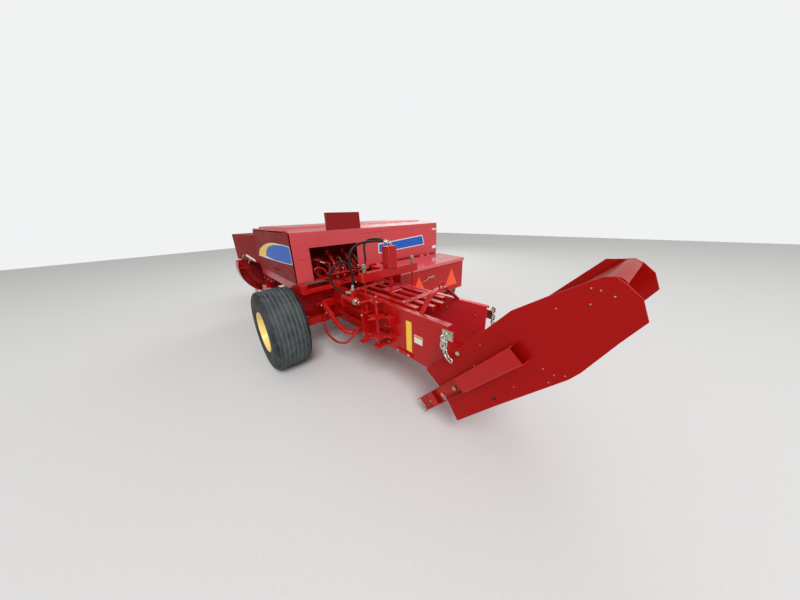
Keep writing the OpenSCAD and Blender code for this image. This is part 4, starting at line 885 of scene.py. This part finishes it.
# For each knotter the cam gear's teeth, the bill hook, the twine ring with its four studs, and
# the pull spring with the two pins that it hangs between.
for x in knotter_xs:
    for i in range(gear_teeth):
        a = 2 * pi * i / gear_teeth
        middle = Vector((x - 31, shaft_y + gear_radius * sin(a), shaft_z + gear_radius * cos(a)))
        out, tangent = Vector((0, sin(a), cos(a))), Vector((0, cos(a), -sin(a)))
        base = [middle + out * r + tangent * t for r, t in ((-3, -6), (6, -3), (6, 3), (-3, 6))]
        verts = [at(p.x + dx, p.y, p.z) for dx in (-9, 9) for p in base]
        gear.append((verts, [(0, 1, 2, 3), (7, 6, 5, 4), (0, 4, 5, 1), (1, 5, 6, 2), (2, 6, 7, 3),
                             (3, 7, 4, 0)]))
    bright.append(swept([at(x - 36, 1530, z) for z in (806, 812, 830, 846)],
                        [0.0045, 0.0075, 0.0085, 0.007], 16))
    bright.append(swept([at(x - 52, 1528, 818), at(x - 38, 1530, 812), at(x - 20, 1534, 806)],
                        [0.003, 0.006, 0.0035], 12))
    bright.append(wire_ring((x + 48, 1580, 890), 41, 2.0))
    for k in range(4):
        a = pi / 4 + k * pi / 2
        bright.append(swept([at(x + dx, 1580 + 28 * sin(a), 890 + 28 * cos(a)) for dx in (52, 58)],
                            0.006, 6))
    line = []
    for i in range(pull_coils * pull_steps + 1):
        a, share = 2 * pi * i / pull_steps, i / (pull_coils * pull_steps)
        c = Vector((x + 62, 1560 + 70 * share, 948 + 62 * share))
        line.append(at(c.x + 7 * cos(a), c.y + 7 * sin(a) * 0.66, c.z - 7 * sin(a) * 0.75))
    pulls.append(swept(line, 0.0016, 6))
    bright.append(swept([at(x + 50, 1556, 944), at(x + 62, 1556, 944)], 0.004, 8))
    bright.append(swept([at(x + 30, 1634, 1014), at(x + 66, 1634, 1014)], 0.004, 8))
piece_of("cam_gear_teeth", joined(gear), cast_enamel, "chassis", 25)
# The trip shaft and the levers outside the case, then each knotter's levers, bosses and stops.
arms = [swept([at(-215, 1506, 868), at(205, 1506, 868)], 0.011, 18),
        swept([at(-345, 1566, 1040), at(-300, 1552, 1024), at(-200, 1540, 978), at(-203, 1540, 960),
               at(-216, 1540, 842)], 0.0075, 12),
        swept(bend_round([(-398, 1540, 1000), (-356, 1540, 888), (-296, 1540, 848), (-240, 1530, 838)],
                         24), 0.0055, 12),
        swept(bend_round([(-372, 1560, 930), (-330, 1556, 960), (-262, 1550, 930), (-236, 1546, 866)],
                         30), 0.010, 14)]
for x in knotter_xs:
    arms += [swept(bend_round([(x - 52, 1700, 1070), (x - 54, 1610, 1034), (x - 50, 1545, 968),
                               (x - 44, 1522, 905)], 40), 0.011, 14),
             swept(bend_round([(x + 18, 1650, 945), (x + 14, 1570, 880), (x - 6, 1530, 846),
                               (x - 30, 1518, 826)], 30), 0.009, 14),
             swept(bend_round([(x + 74, 1690, 1030), (x + 78, 1590, 960), (x + 72, 1524, 880),
                               (x + 24, 1500, 822)], 40), 0.0075, 12),
             swept([at(x + 60, 1700, 985), at(x + 60, 1600, 905)], 0.012, 16),
             swept([at(x - 16, 1620, 985), at(x - 36, 1532, 850)], 0.013, 18),
             swept([at(x - 30, 1560, 892), at(x - 22, 1560, 892)], 0.034, 24),
             box_of((x - 66, x - 30), (1672, 1706), (1046, 1098)),
             box_of((x - 70, x - 60), (1500, 1560), (866, 906)),
             box_of((x + 8, x + 22), (1496, 1516), (846, 892))]
eased("knotter_arms", arms, red_enamel, "chassis", 2)
# Hooks and rings that the twine polishes: bare steel, neutral and bright.
polished = plated("polished_bill_hook_steel", "#c9c7c2", "#8d8a80", 0.3, 15)
piece_of("bill_hooks_and_rings", joined(bright), polished, "chassis")
piece_of("knotter_springs", joined(pulls), spring_steel, "chassis")
frame_spots = ((1560, 912), (1650, 905), (1720, 1032), (1770, 960), (1670, 830), (1790, 830))
knotter_bolts = [(x - 9, y, z, -1, 0, 0) for x in knotter_xs for y, z in frame_spots]
quarter_turns = (0, 1.57, 3.14, 4.71)
knotter_bolts += [(-380, shaft_y + 45 * sin(a), shaft_z + 45 * cos(a), -1, 0, 0) for a in quarter_turns]
bolted("knotter_bolts", knotter_bolts, "chassis", 8.5, 6.5, 11.5, seed=11)
# The drive chain lies round its wheel; every second link has its side plates inside the others.
chain_steps, chain_radius = 34, 128
links = []
for i in range(chain_steps):
    a = 2 * pi * i / chain_steps
    middle = Vector((-373, shaft_y + chain_radius * sin(a), shaft_z + chain_radius * cos(a)))
    ends = [middle + Vector((0, cos(a), -sin(a))) * t for t in (-11, -7, 7, 11)]
    for shift in ((-5, 5) if i % 2 else (-7.5, 7.5)):
        links.append(swept([at(p.x + shift, p.y, p.z) for p in ends], [0.003, 0.0065, 0.0065, 0.003],
                           8))
piece_of("knotter_drive_chain", joined(links), polished, "chassis", 40)

# Feeder
# A steel floor and two walls behind the pickup, with the round lift bar that the pickup
# hangs on, bolted under the hood's right side.
rounded("feeder_floor")
rounded("feeder_walls")

# Hood
# Pressed sheet over a welded frame: a deck with a raised panel, a rear sheet cut open over
# the knotters, and a left shield that swings up on a piano pin. Corner sheet and top band
# are separate pressings, so their edges show as seams.

# The deck and the rear and right panels get an enamel painted paler and pinker as a painted sky
# reflection;
# the shields, which look down and to the side, get a deeper red as painted shade, with hardly a sheen.
sky_reflection_enamel = enamel("red_enamel_painted_pale_as_sky_reflection", "#cc4e53", "#c4454a", "#d08a87", "#e08c86",
                        0.26, 0.24)
shaded_shield_enamel = enamel("red_enamel_painted_deep_as_shield_shade", "#8c1411", "#80100e", "#7a3a30", "#a8443c", 0.4,
                       0.2, sheen=0.06)
rounded("hood_frame", 2)
# Deck, rear and right panels take the paler enamel, as a painted sky reflection.
rounded("hood_deck", 4, sky_reflection_enamel)
rounded("hood_rear_panel", 2, sky_reflection_enamel)
rounded("hood_front_panel", 2)
rounded("hood_right_panel", 2, sky_reflection_enamel)
# The upright takes the darker enamel, as painted shade.
rounded("hood_upright", 1.8, shaded_red_enamel)
# The shields take the deeper enamel, as painted shade.
rounded("left_shield", 1.8, shaded_shield_enamel)
rounded("front_shield", 1.8, shaded_shield_enamel)


def on_rear(corners, radius=4, y=1492.0):
    """Corners across and up, rounded, on an upright face that looks to the rear."""
    return [(p[0], y, p[1]) for p in rounded_corners(corners, radius)]


# The sheets take the paler enamel with its painted sky reflection.
for name, corners, radius, thick, bulge in (
        ("corner_sheet_upper", oblong(-567, -432, 1064, 1304), 4, 4.0, 1.4),
        ("corner_sheet_lower", oblong(-567, -430, 846, 1057), 4, 3.4, 1.4),
        ("opening_head_sheet",
         [(-411, 1166), (-411, 842), (-422, 842), (-424, 1304), (124, 1304), (124, 1166)], 2, 3.0, 1.2),
        ("rear_top_band", [(132, 1258), (1464, 1272), (1464, 1304), (132, 1304)], 4, 3.4, 2.6),
        ("rear_sheet_seam", oblong(126, 1466, 904, 1246), 4, 1.4, 1.2)):
    flat_plate(name, on_rear(corners, radius), thick, (0, -1, 0), sky_reflection_enamel, "chassis",
               bulge)
sills = [box_of((120, 1462), (1494.5, 1498), (872, 908)),
         box_of((-564, -238), (1500, 1700), (836, 839.5))]
eased("hood_sills", sills, red_enamel, "chassis", 0.8)
# The screws take the paler enamel with its painted sky reflection.
rear_screws = [(x, 1488.6, 1288) for x in (170, 480, 800, 1120, 1430)]
rear_screws += [(-552, 1489.4, 1285), (-444, 1489.4, 1285), (-552, 1489.4, 1084), (-552, 1489.8, 1040),
                (-500, 1489.8, 862)]
bolted("hood_screws", [(*p, 0, -1, 0) for p in rear_screws], "chassis", 4, 2.5, 6, sky_reflection_enamel,
       5)
deck_screws = [(x, 2838, 1336, 0, 0, 1) for x in range(-500, 1450, 240)]
deck_screws += [(x, 1716, 1336, 0, 0, 1) for x in (-500, -260, 260, 500, 740, 980, 1220, 1440)]
bolted("deck_screws", deck_screws, "chassis", 4, 2.5, 6, sky_reflection_enamel, 6)

# Films on the hood
# A white bordered film in yellow and blue along the left shield, a blue one and two small
# labels on the rear side, and a label on the front shield: vinyl, and all of it blank.
shield_x, film_thick = -584.0, 0.3


def smooth_line(points):
    """A smooth curve through points in two coordinates."""
    return [(p.x, p.y) for p in through([(a, b, 0) for a, b in points], 5)]


def film(name, outline, out, material, body="chassis"):
    """A vinyl film cut to an outline in millimetres, its edge just rounded."""
    flat_plate(name, outline, film_thick, out, material, body, 0.12)


front_curve = smooth_line([(2789, 1005), (2679, 1078), (2448, 1143), (2218, 1182), (2010, 1197)])
inner_curve = smooth_line([(2424, 1026), (2347, 1103), (2200, 1153), (1982, 1186)])
border = smooth_line([(2796, 1000), (2684, 1083), (2450, 1149), (2218, 1188), (2010, 1203)])
border += [(1700, 1203), (1516, 1197), (1505, 1186), (1497, 1042), (1502, 1028), (1751, 1014),
           (2100, 1006), (2500, 1000)]
blue_part = inner_curve + [(1700, 1196), (1522, 1190), (1512, 1180), (1503, 1044), (1508, 1034),
                           (1751, 1021), (2100, 1014)]
for name, outline, layer, vinyl_film in (("border", border, 0, white_vinyl),
                                         ("yellow", front_curve + inner_curve[::-1], 1, yellow_vinyl),
                                         ("blue", blue_part, 1, blue_vinyl)):
    film("left_film_" + name, [(shield_x - layer * film_thick, y, z) for y, z in outline], (-1, 0, 0),
         vinyl_film, "left_door")
panel_y = 1490.6
film("rear_film_border", on_rear([(413, 1125), (412, 1010), (1213, 1038), (1169, 1170)], 12, panel_y),
     (0, -1, 0), white_vinyl)
film("rear_film_blue", on_rear([(425, 1114), (424, 1021), (1198, 1048), (1159, 1158)], 10,
                               panel_y - film_thick), (0, -1, 0), blue_vinyl)
film("rear_label_upper", on_rear(oblong(1372, 1452, 1222, 1242), 3, panel_y), (0, -1, 0), white_vinyl)
film("rear_label_lower", on_rear(oblong(1376, 1456, 962, 1002), 3, panel_y), (0, -1, 0), white_vinyl)


shield_bend, shield_slant = 2869, 0.169


def front_x(y):
    """How far out the front shield's slanting sheet stands."""
    return shield_x - shield_slant * (y - shield_bend)


film("front_shield_label", [(front_x(y) - 0.4, y, z)
                            for y, z in ((3300, 952), (3000, 892), (2996, 922), (3270, 984))],
     (-0.986, -0.167, 0), white_vinyl)

# Catches and handle
# Zinc plated catches on the front shield, and a bent bar handle with two welded feet low on
# the left shield, painted with it.
catches = []
for y, z in ((3365, 956), (3180, 900)):
    x = front_x(y)
    catches.append(swept([at(x + 1, y, z), at(x - 5, y, z), at(x - 8, y, z)], [0.016, 0.016, 0.012],
                         18))
    catches.append(swept(bend_round([(x - 8, y - 4, z - 2), (x - 22, y - 6, z - 4),
                                     (x - 24, y - 10, z - 46)], 12), 0.0045, 10))
piece_of("shield_catches", joined(catches), zinc, "chassis")
handle = [swept(bend_round([(-584, 2050, 905), (-612, 2050, 905), (-612, 2170, 905), (-584, 2170, 905)],
                           16), 0.006, 12)]
for y in (2050, 2170):
    handle.append(swept([at(-583.8, y, 905), at(-588, y, 905)], [0.013, 0.011], 18))
# The handle takes the darker enamel, as painted shade.
piece_of("shield_handle", joined(handle), shaded_red_enamel, "left_door")

# Twine box
# A long welded bin right of the case behind the hood, with a pressed lid on two hinges,
# a drawn latch on its rear face and two prism reflectors riveted on.
rounded("twine_box", 3)
# The lid's enamel is painted pale as a painted sky reflection, and is glossy enough to mirror the hood.
sky_reflection_lid_enamel = enamel("red_enamel_glossy_painted_pale_as_sky_reflection_on_lid", "#e0555c", "#d84c54", "#dc8a8a", "#ee9a96", 0.12,
                    0.2, sheen=0.9)
rounded("twine_box_lid", 3, sky_reflection_lid_enamel)
latch = [box_of((672, 786), (944, 954), (742, 760)), box_of((690, 770), (936, 944), (746, 756)),
         swept(bend_round([(600, 950, 716), (640, 942, 724), (690, 938, 748)], 14), 0.0035, 10)]
eased("box_latch", latch, zinc, "chassis", 0.8)
# Prism acrylic: clear orange over small cells that sparkle, in a darker red border.
fluorescent, tree, shader, place = empty_material("fluorescent_orange_prism_acrylic")
cells = add_node(tree, "ShaderNodeTexVoronoi", {"Vector": place, "Scale": 170.0})
tint = add_node(tree, "ShaderNodeMix", {0: cells.outputs["Distance"], 6: linear("#ff5a1e"),
                                        7: linear("#fb4410")}, data_type="RGBA")
tree.links.new(tint.outputs[2], shader.inputs["Base Color"])
prisms = add_node(tree, "ShaderNodeBump", {"Height": cells.outputs["Distance"], "Strength": 0.4,
                                           "Distance": 0.0003})
tree.links.new(prisms.outputs[0], shader.inputs["Normal"])
shader.inputs["Roughness"].default_value = 0.22
red_prism = vinyl("red_prism_border", "#d63a1c", "#c83216", 0.24)
triangle = [(-135, 560), (135, 560), (0, 800)]
inner = [(-120, 568), (120, 568), (0, 781)]
rivets = []
for x in (540, 1125):
    border = flat_plate("reflector_border_%d" % x, on_rear([(x + a, b) for a, b in triangle], 9, 954),
                        2.0, (0, -1, 0), red_prism, "chassis", 0.8)
    face = flat_plate("reflector_face_%d" % x, on_rear([(x + a, b) for a, b in inner], 8, 952), 0.9,
                      (0, -1, 0), fluorescent, "chassis", 0.5)
    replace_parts(border, "reflectors")
    rivets += [(x + a, 952.6, b, 0, -1, 0) for a, b in ((-100, 577), (100, 577), (0, 756))]
bolted("reflector_rivets", rivets, "chassis", 3, 1.6, 3.6)

# Chute
# Two side sheets folded along two lines, a ramp between them and cross members under it, hinged
# on the walls' stub pins, with open channels that run into boxed sleeves down each side. Its
# enamel is painted a deeper red than the rest as painted shade, with little sheen, because bales rub
# it.
shaded_chute_enamel = enamel("red_enamel_painted_deep_as_chute_shade", "#ad0d08", "#a00a06", "#a8584f", "#cf5a50", 0.24, 0.22,
                     sheen=0.1)
rounded("chute", 1.5, shaded_chute_enamel, None, 0.4)
rounded("chute_arms", 2.2)
rounded("chain_brackets", 1.2)
rounded("chain_studs", 0.8)


chute_pitch = radians(44)
hinge_y, hinge_z = 122, 425
# A side sheet leans out above its upper fold and below its lower one, by the tangents of 7 and
# 10 degrees; the upper fold runs up to the top edge.
side_face, fold_rise, upper_lean, lower_lean = 245.5, 0.1192, 0.1228, 0.1763


def on_chute(side, s, d):
    """A place on a chute side: s along the chute, d below its top edge, and out with its two folds."""
    upper_fold, lower_fold = -124 + s * fold_rise, -212 - s * 0.007
    lean = max(-d - upper_fold, 0) * upper_lean + max(lower_fold + d, 0) * lower_lean
    return (side * (side_face + lean), hinge_y - s * cos(chute_pitch) - d * sin(chute_pitch),
            hinge_z + s * sin(chute_pitch) - d * cos(chute_pitch))


side_bolts = [(511, 19), (388, 105), (444, 141), (262, 140), (564, 166), (580, 178), (546, 268),
              (732, 229), (761, 265), (721, 287), (801, 280), (1074, 16), (1092, 38), (1112, 76),
              (1039, 65), (933, 25)]
bolted("chute_side_bolts", [(*on_chute(side, s, d), side, 0, 0) for side in (-1, 1)
                            for s, d in side_bolts], "bale_chute", 1.9, 1.4, 2.7, seed=2)
web_bolts = [(side * 255.4, *on_chute(side, s, d)[1:], side, 0, 0) for side in (-1, 1)
             for s, d in ((-238, 222), (-134, 212), (13, 197), (148, 184))]
bolted("chute_channel_bolts", web_bolts, "bale_chute", 9, 7, 13, seed=4)
# A strip closes the slit between the ramp and each side sheet, up to the sheet as it leans out.
stations = (400, 560, 720, 880, 1040, 1112)
strip_inside, strip_over, strip_under = 204, 16.2, 18.4
strips = []
for side in (-1, 1):
    verts, faces = [], []
    for s in stations:
        reach = 238.6 + max(107 - s * fold_rise, 0) * upper_lean
        for d, edge in ((strip_over, strip_inside), (strip_over, reach), (strip_under, reach),
                        (strip_under, strip_inside)):
            verts.append(at(side * edge, *on_chute(side, s, d)[1:]))
    for i in range(len(stations) - 1):
        faces += [(4 * i + k, 4 * i + (k + 1) % 4, 4 * i + 4 + (k + 1) % 4, 4 * i + 4 + k)
                  for k in range(4)]
    strips.append((verts, faces + [(0, 1, 2, 3), (23, 22, 21, 20)]))
eased("ramp_edge_strips", strips, shaded_chute_enamel, "bale_chute", 0.6)
drain = []
for side in (-1, 1):
    x, y, z = on_chute(side, 398, 300)
    drain.append(swept([at(x - side * 0.5, y, z), at(x + side * 0.8, y, z)], 0.011, 20))
piece_of("chute_drain_grommets", joined(drain), nitrile, "bale_chute")


# Chains
# Chains of bent wire links in bright zinc plate, one on a bolt through each wall's bracket,
# ready to hook over the chute's stud. The last four links are looped up beside the others.
chain_tree, chain_inputs, given = empty_tree("chain_links",
                                             {"Places": "Geometry", "Half Width": "Float",
                                              "Half Straight": "Float", "Wire": "Float",
                                              "Finish": "Material"})
ring = add_node(chain_tree, "GeometryNodeCurvePrimitiveCircle",
                {"Resolution": 24, "Radius": given["Half Width"]})
spot = add_node(chain_tree, "GeometryNodeInputPosition")
parts = add_node(chain_tree, "ShaderNodeSeparateXYZ", {0: spot.outputs[0]})
sign = add_node(chain_tree, "ShaderNodeMath", {0: parts.outputs["Y"]}, operation="SIGN")
push = add_node(chain_tree, "ShaderNodeMath", {0: sign.outputs[0], 1: given["Half Straight"]},
                operation="MULTIPLY")
shift = add_node(chain_tree, "ShaderNodeCombineXYZ", {"Y": push.outputs[0]})
oval = add_node(chain_tree, "GeometryNodeSetPosition", {"Geometry": ring.outputs["Curve"],
                                                        "Offset": shift.outputs[0]})
wire = add_node(chain_tree, "GeometryNodeCurvePrimitiveCircle",
                {"Resolution": 10, "Radius": given["Wire"]})
link = add_node(chain_tree, "GeometryNodeCurveToMesh", {"Curve": oval.outputs[0],
                                                        "Profile Curve": wire.outputs["Curve"]})
turn = add_node(chain_tree, "GeometryNodeInputNamedAttribute", {"Name": "turn"},
                data_type="FLOAT_VECTOR")
spin = add_node(chain_tree, "FunctionNodeEulerToRotation", {0: turn.outputs["Attribute"]})
set_out(chain_tree, given, link.outputs[0], spin.outputs[0])

# New zinc plate on the links: nearly white, with the sharpest gloss on the machine.
bright_zinc = plated("bright_zinc_plated_chain", "#e6e6e0", "#b9b8ae", 0.28)
link_pitch = 26.5
lean_of_link = [0, 0, 0, 0, 14, 40, 66]
second_strand = [(13, -47, 738, 24), (17, -42, 716, -10), (15, -46, 692, 18), (9, -52, 670, -14)]
places, turns = [], []


def hang(x, y, z, lean, twist):
    """Adds a link at a place in millimetres, leaning from upright and twisted about its length."""
    places.append(at(x, y, z))
    tilt = Matrix.Rotation(radians(90 - lean), 3, "X") @ Matrix.Rotation(radians(twist), 3, "Y")
    turns.extend(tilt.to_euler())


for side in (-1, 1):
    y, z = -54.0, 752.0
    for i, lean in enumerate(lean_of_link):
        if i:
            mid = radians((lean_of_link[i - 1] + lean) / 2)
            y, z = y - link_pitch * sin(mid), z - link_pitch * cos(mid)
        hang(side * 282.5, y, z, lean, 0 if i % 2 else 90)
    for i, (dx, y, z, lean) in enumerate(second_strand):
        hang(side * (282 + dx), y, z, lean, 60 if i % 2 else 150)
made = run_tree(chain_tree, chain_inputs, places, "turn", turns,
                {"Half Width": 0.0115, "Half Straight": 0.008, "Wire": 0.0048, "Finish": bright_zinc})
outward(made)
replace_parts(piece_of("hanging_chain_links", made, None, "chassis", 60), "chains")
pins = []
for side in (-1, 1):
    for xs, radii, sides in (((234, 293), 0.005, 16),
                             ((288, 289, 294, 295), [0.0075, 0.009, 0.009, 0.0075], 6)):
        pins.append(swept([at(side * x, -54, 760.5) for x in xs], radii, sides))
piece_of("chain_bolts", joined(pins), zinc, "chassis")
bracket_bolts = [(side * 234, -14, z, side, 0, 0) for side in (-1, 1) for z in (714, 748)]
bolted("bracket_bolts", bracket_bolts, "chassis", 7.5, 5.5, 10)

# Drive
# Cast gear case on the left of the bale chamber, a cast flywheel on its input shaft, and a
# rolled sheet guard open towards the rear.
rounded("gearbox", 5)
rounded("flywheel", 2.5)
rounded("flywheel_guard", 2)
gear_bolts = [(-480, y, z, -1, 0, 0) for y in (2925, 3100, 3275) for z in (605, 760, 915)]
gear_bolts += [(x, 2900, z, 0, -1, 0) for x in (-455, -255) for z in (605, 915)]
bolted("gear_case_bolts", gear_bolts, "chassis", 10, 7, 13, seed=8)
hub_bolts = [(-360 + 42 * sin(i * pi / 3), 3490, 760 + 42 * cos(i * pi / 3), 0, 1, 0) for i in range(6)]
bolted("flywheel_bolts", hub_bolts, "fly", 9, 7, 12, seed=9)

# Pickup
# Spring tines on four bars turn between pressed stripper bands under a rod wind guard, on
# side sheets that hang from the lift bar; a small rubber wheel carries the right end.
rounded("pickup_frame", 2)
rounded("stripper_bands", 1.2)
rounded("pickup_reel", 1)
rounded("wind_guard", 1)
rounded("gauge_wheel", 3)
side_spots = ((2440, 420), (2440, 620), (2860, 560), (2880, 380), (2600, 220))
frame_bolts = [(x, y, z, way, 0, 0) for x, way in ((1766, 1), (300, -1)) for y, z in side_spots]
frame_bolts += [(1778, y, 270, 1, 0, 0) for y in (2520, 2620)]
bolted("pickup_bolts", frame_bolts, "pickup", 8, 6, 11, seed=10)
first_band, last_band, bands = 306, 1760, 13
band_screws = [(first_band + (last_band - first_band) / bands * (i + 0.5), 2440, 625, 0, 0, 1)
               for i in range(bands)]
bolted("band_screws", band_screws, "pickup", 6, 4, 8.5, seed=12)

# Tongue
# Box section drawbar on an upright pin, with a plate hitch, a telescoping driveline in its
# black plastic guard, and a plated screw jack with a foot.
rounded("tongue_bracket", 2.5)
rounded("tongue", 7)
rounded("hitch", 2)
rounded("jack_tube", 1.2)
rounded("jack_leg", 1.2)
rear_joint, front_joint = Vector((-360, 3650, 752)), Vector((-360, 4840, 592))
# The driveline's guard: the share of the way between its joints, and its radius there.
guard_profile = [(0, 38), (0.006, 48), (0.03, 49.5), (0.05, 47), (0.055, 44), (0.065, 47), (0.075, 43),
                 (0.085, 46), (0.095, 40), (0.12, 38), (0.13, 36), (0.50, 36), (0.502, 39), (0.515, 39),
                 (0.517, 31), (0.87, 31), (0.88, 36), (0.905, 40), (0.915, 46), (0.925, 43),
                 (0.935, 47), (0.945, 44), (0.95, 47), (0.97, 49.5), (0.994, 48), (1, 38)]
shaft = [swept([at(*rear_joint.lerp(front_joint, t)) for t, r in guard_profile],
               [r / 1000 for t, r in guard_profile], 40),
         box_of((-390, -330), (4200, 4260), (600, 640))]
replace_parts(eased("driveline_guard", shaft, black_plastic, "drawbar", 1.5),
            "driveline")
grip = [swept([at(x, 4300, 732) for x in (-548, -550, -578, -580)], [0.0085, 0.011, 0.011, 0.0085], 18)]
piece_of("jack_grip", joined(grip), nitrile, "drawbar")
tongue_bolts = [(x, y, z, way, 0, 0) for x, way in ((-300, 1), (-420, -1)) for y in (4790, 4815)
                for z in (310, 370)]
bolted("tongue_bolts", tongue_bolts, "drawbar", 12, 9, 16, seed=13)
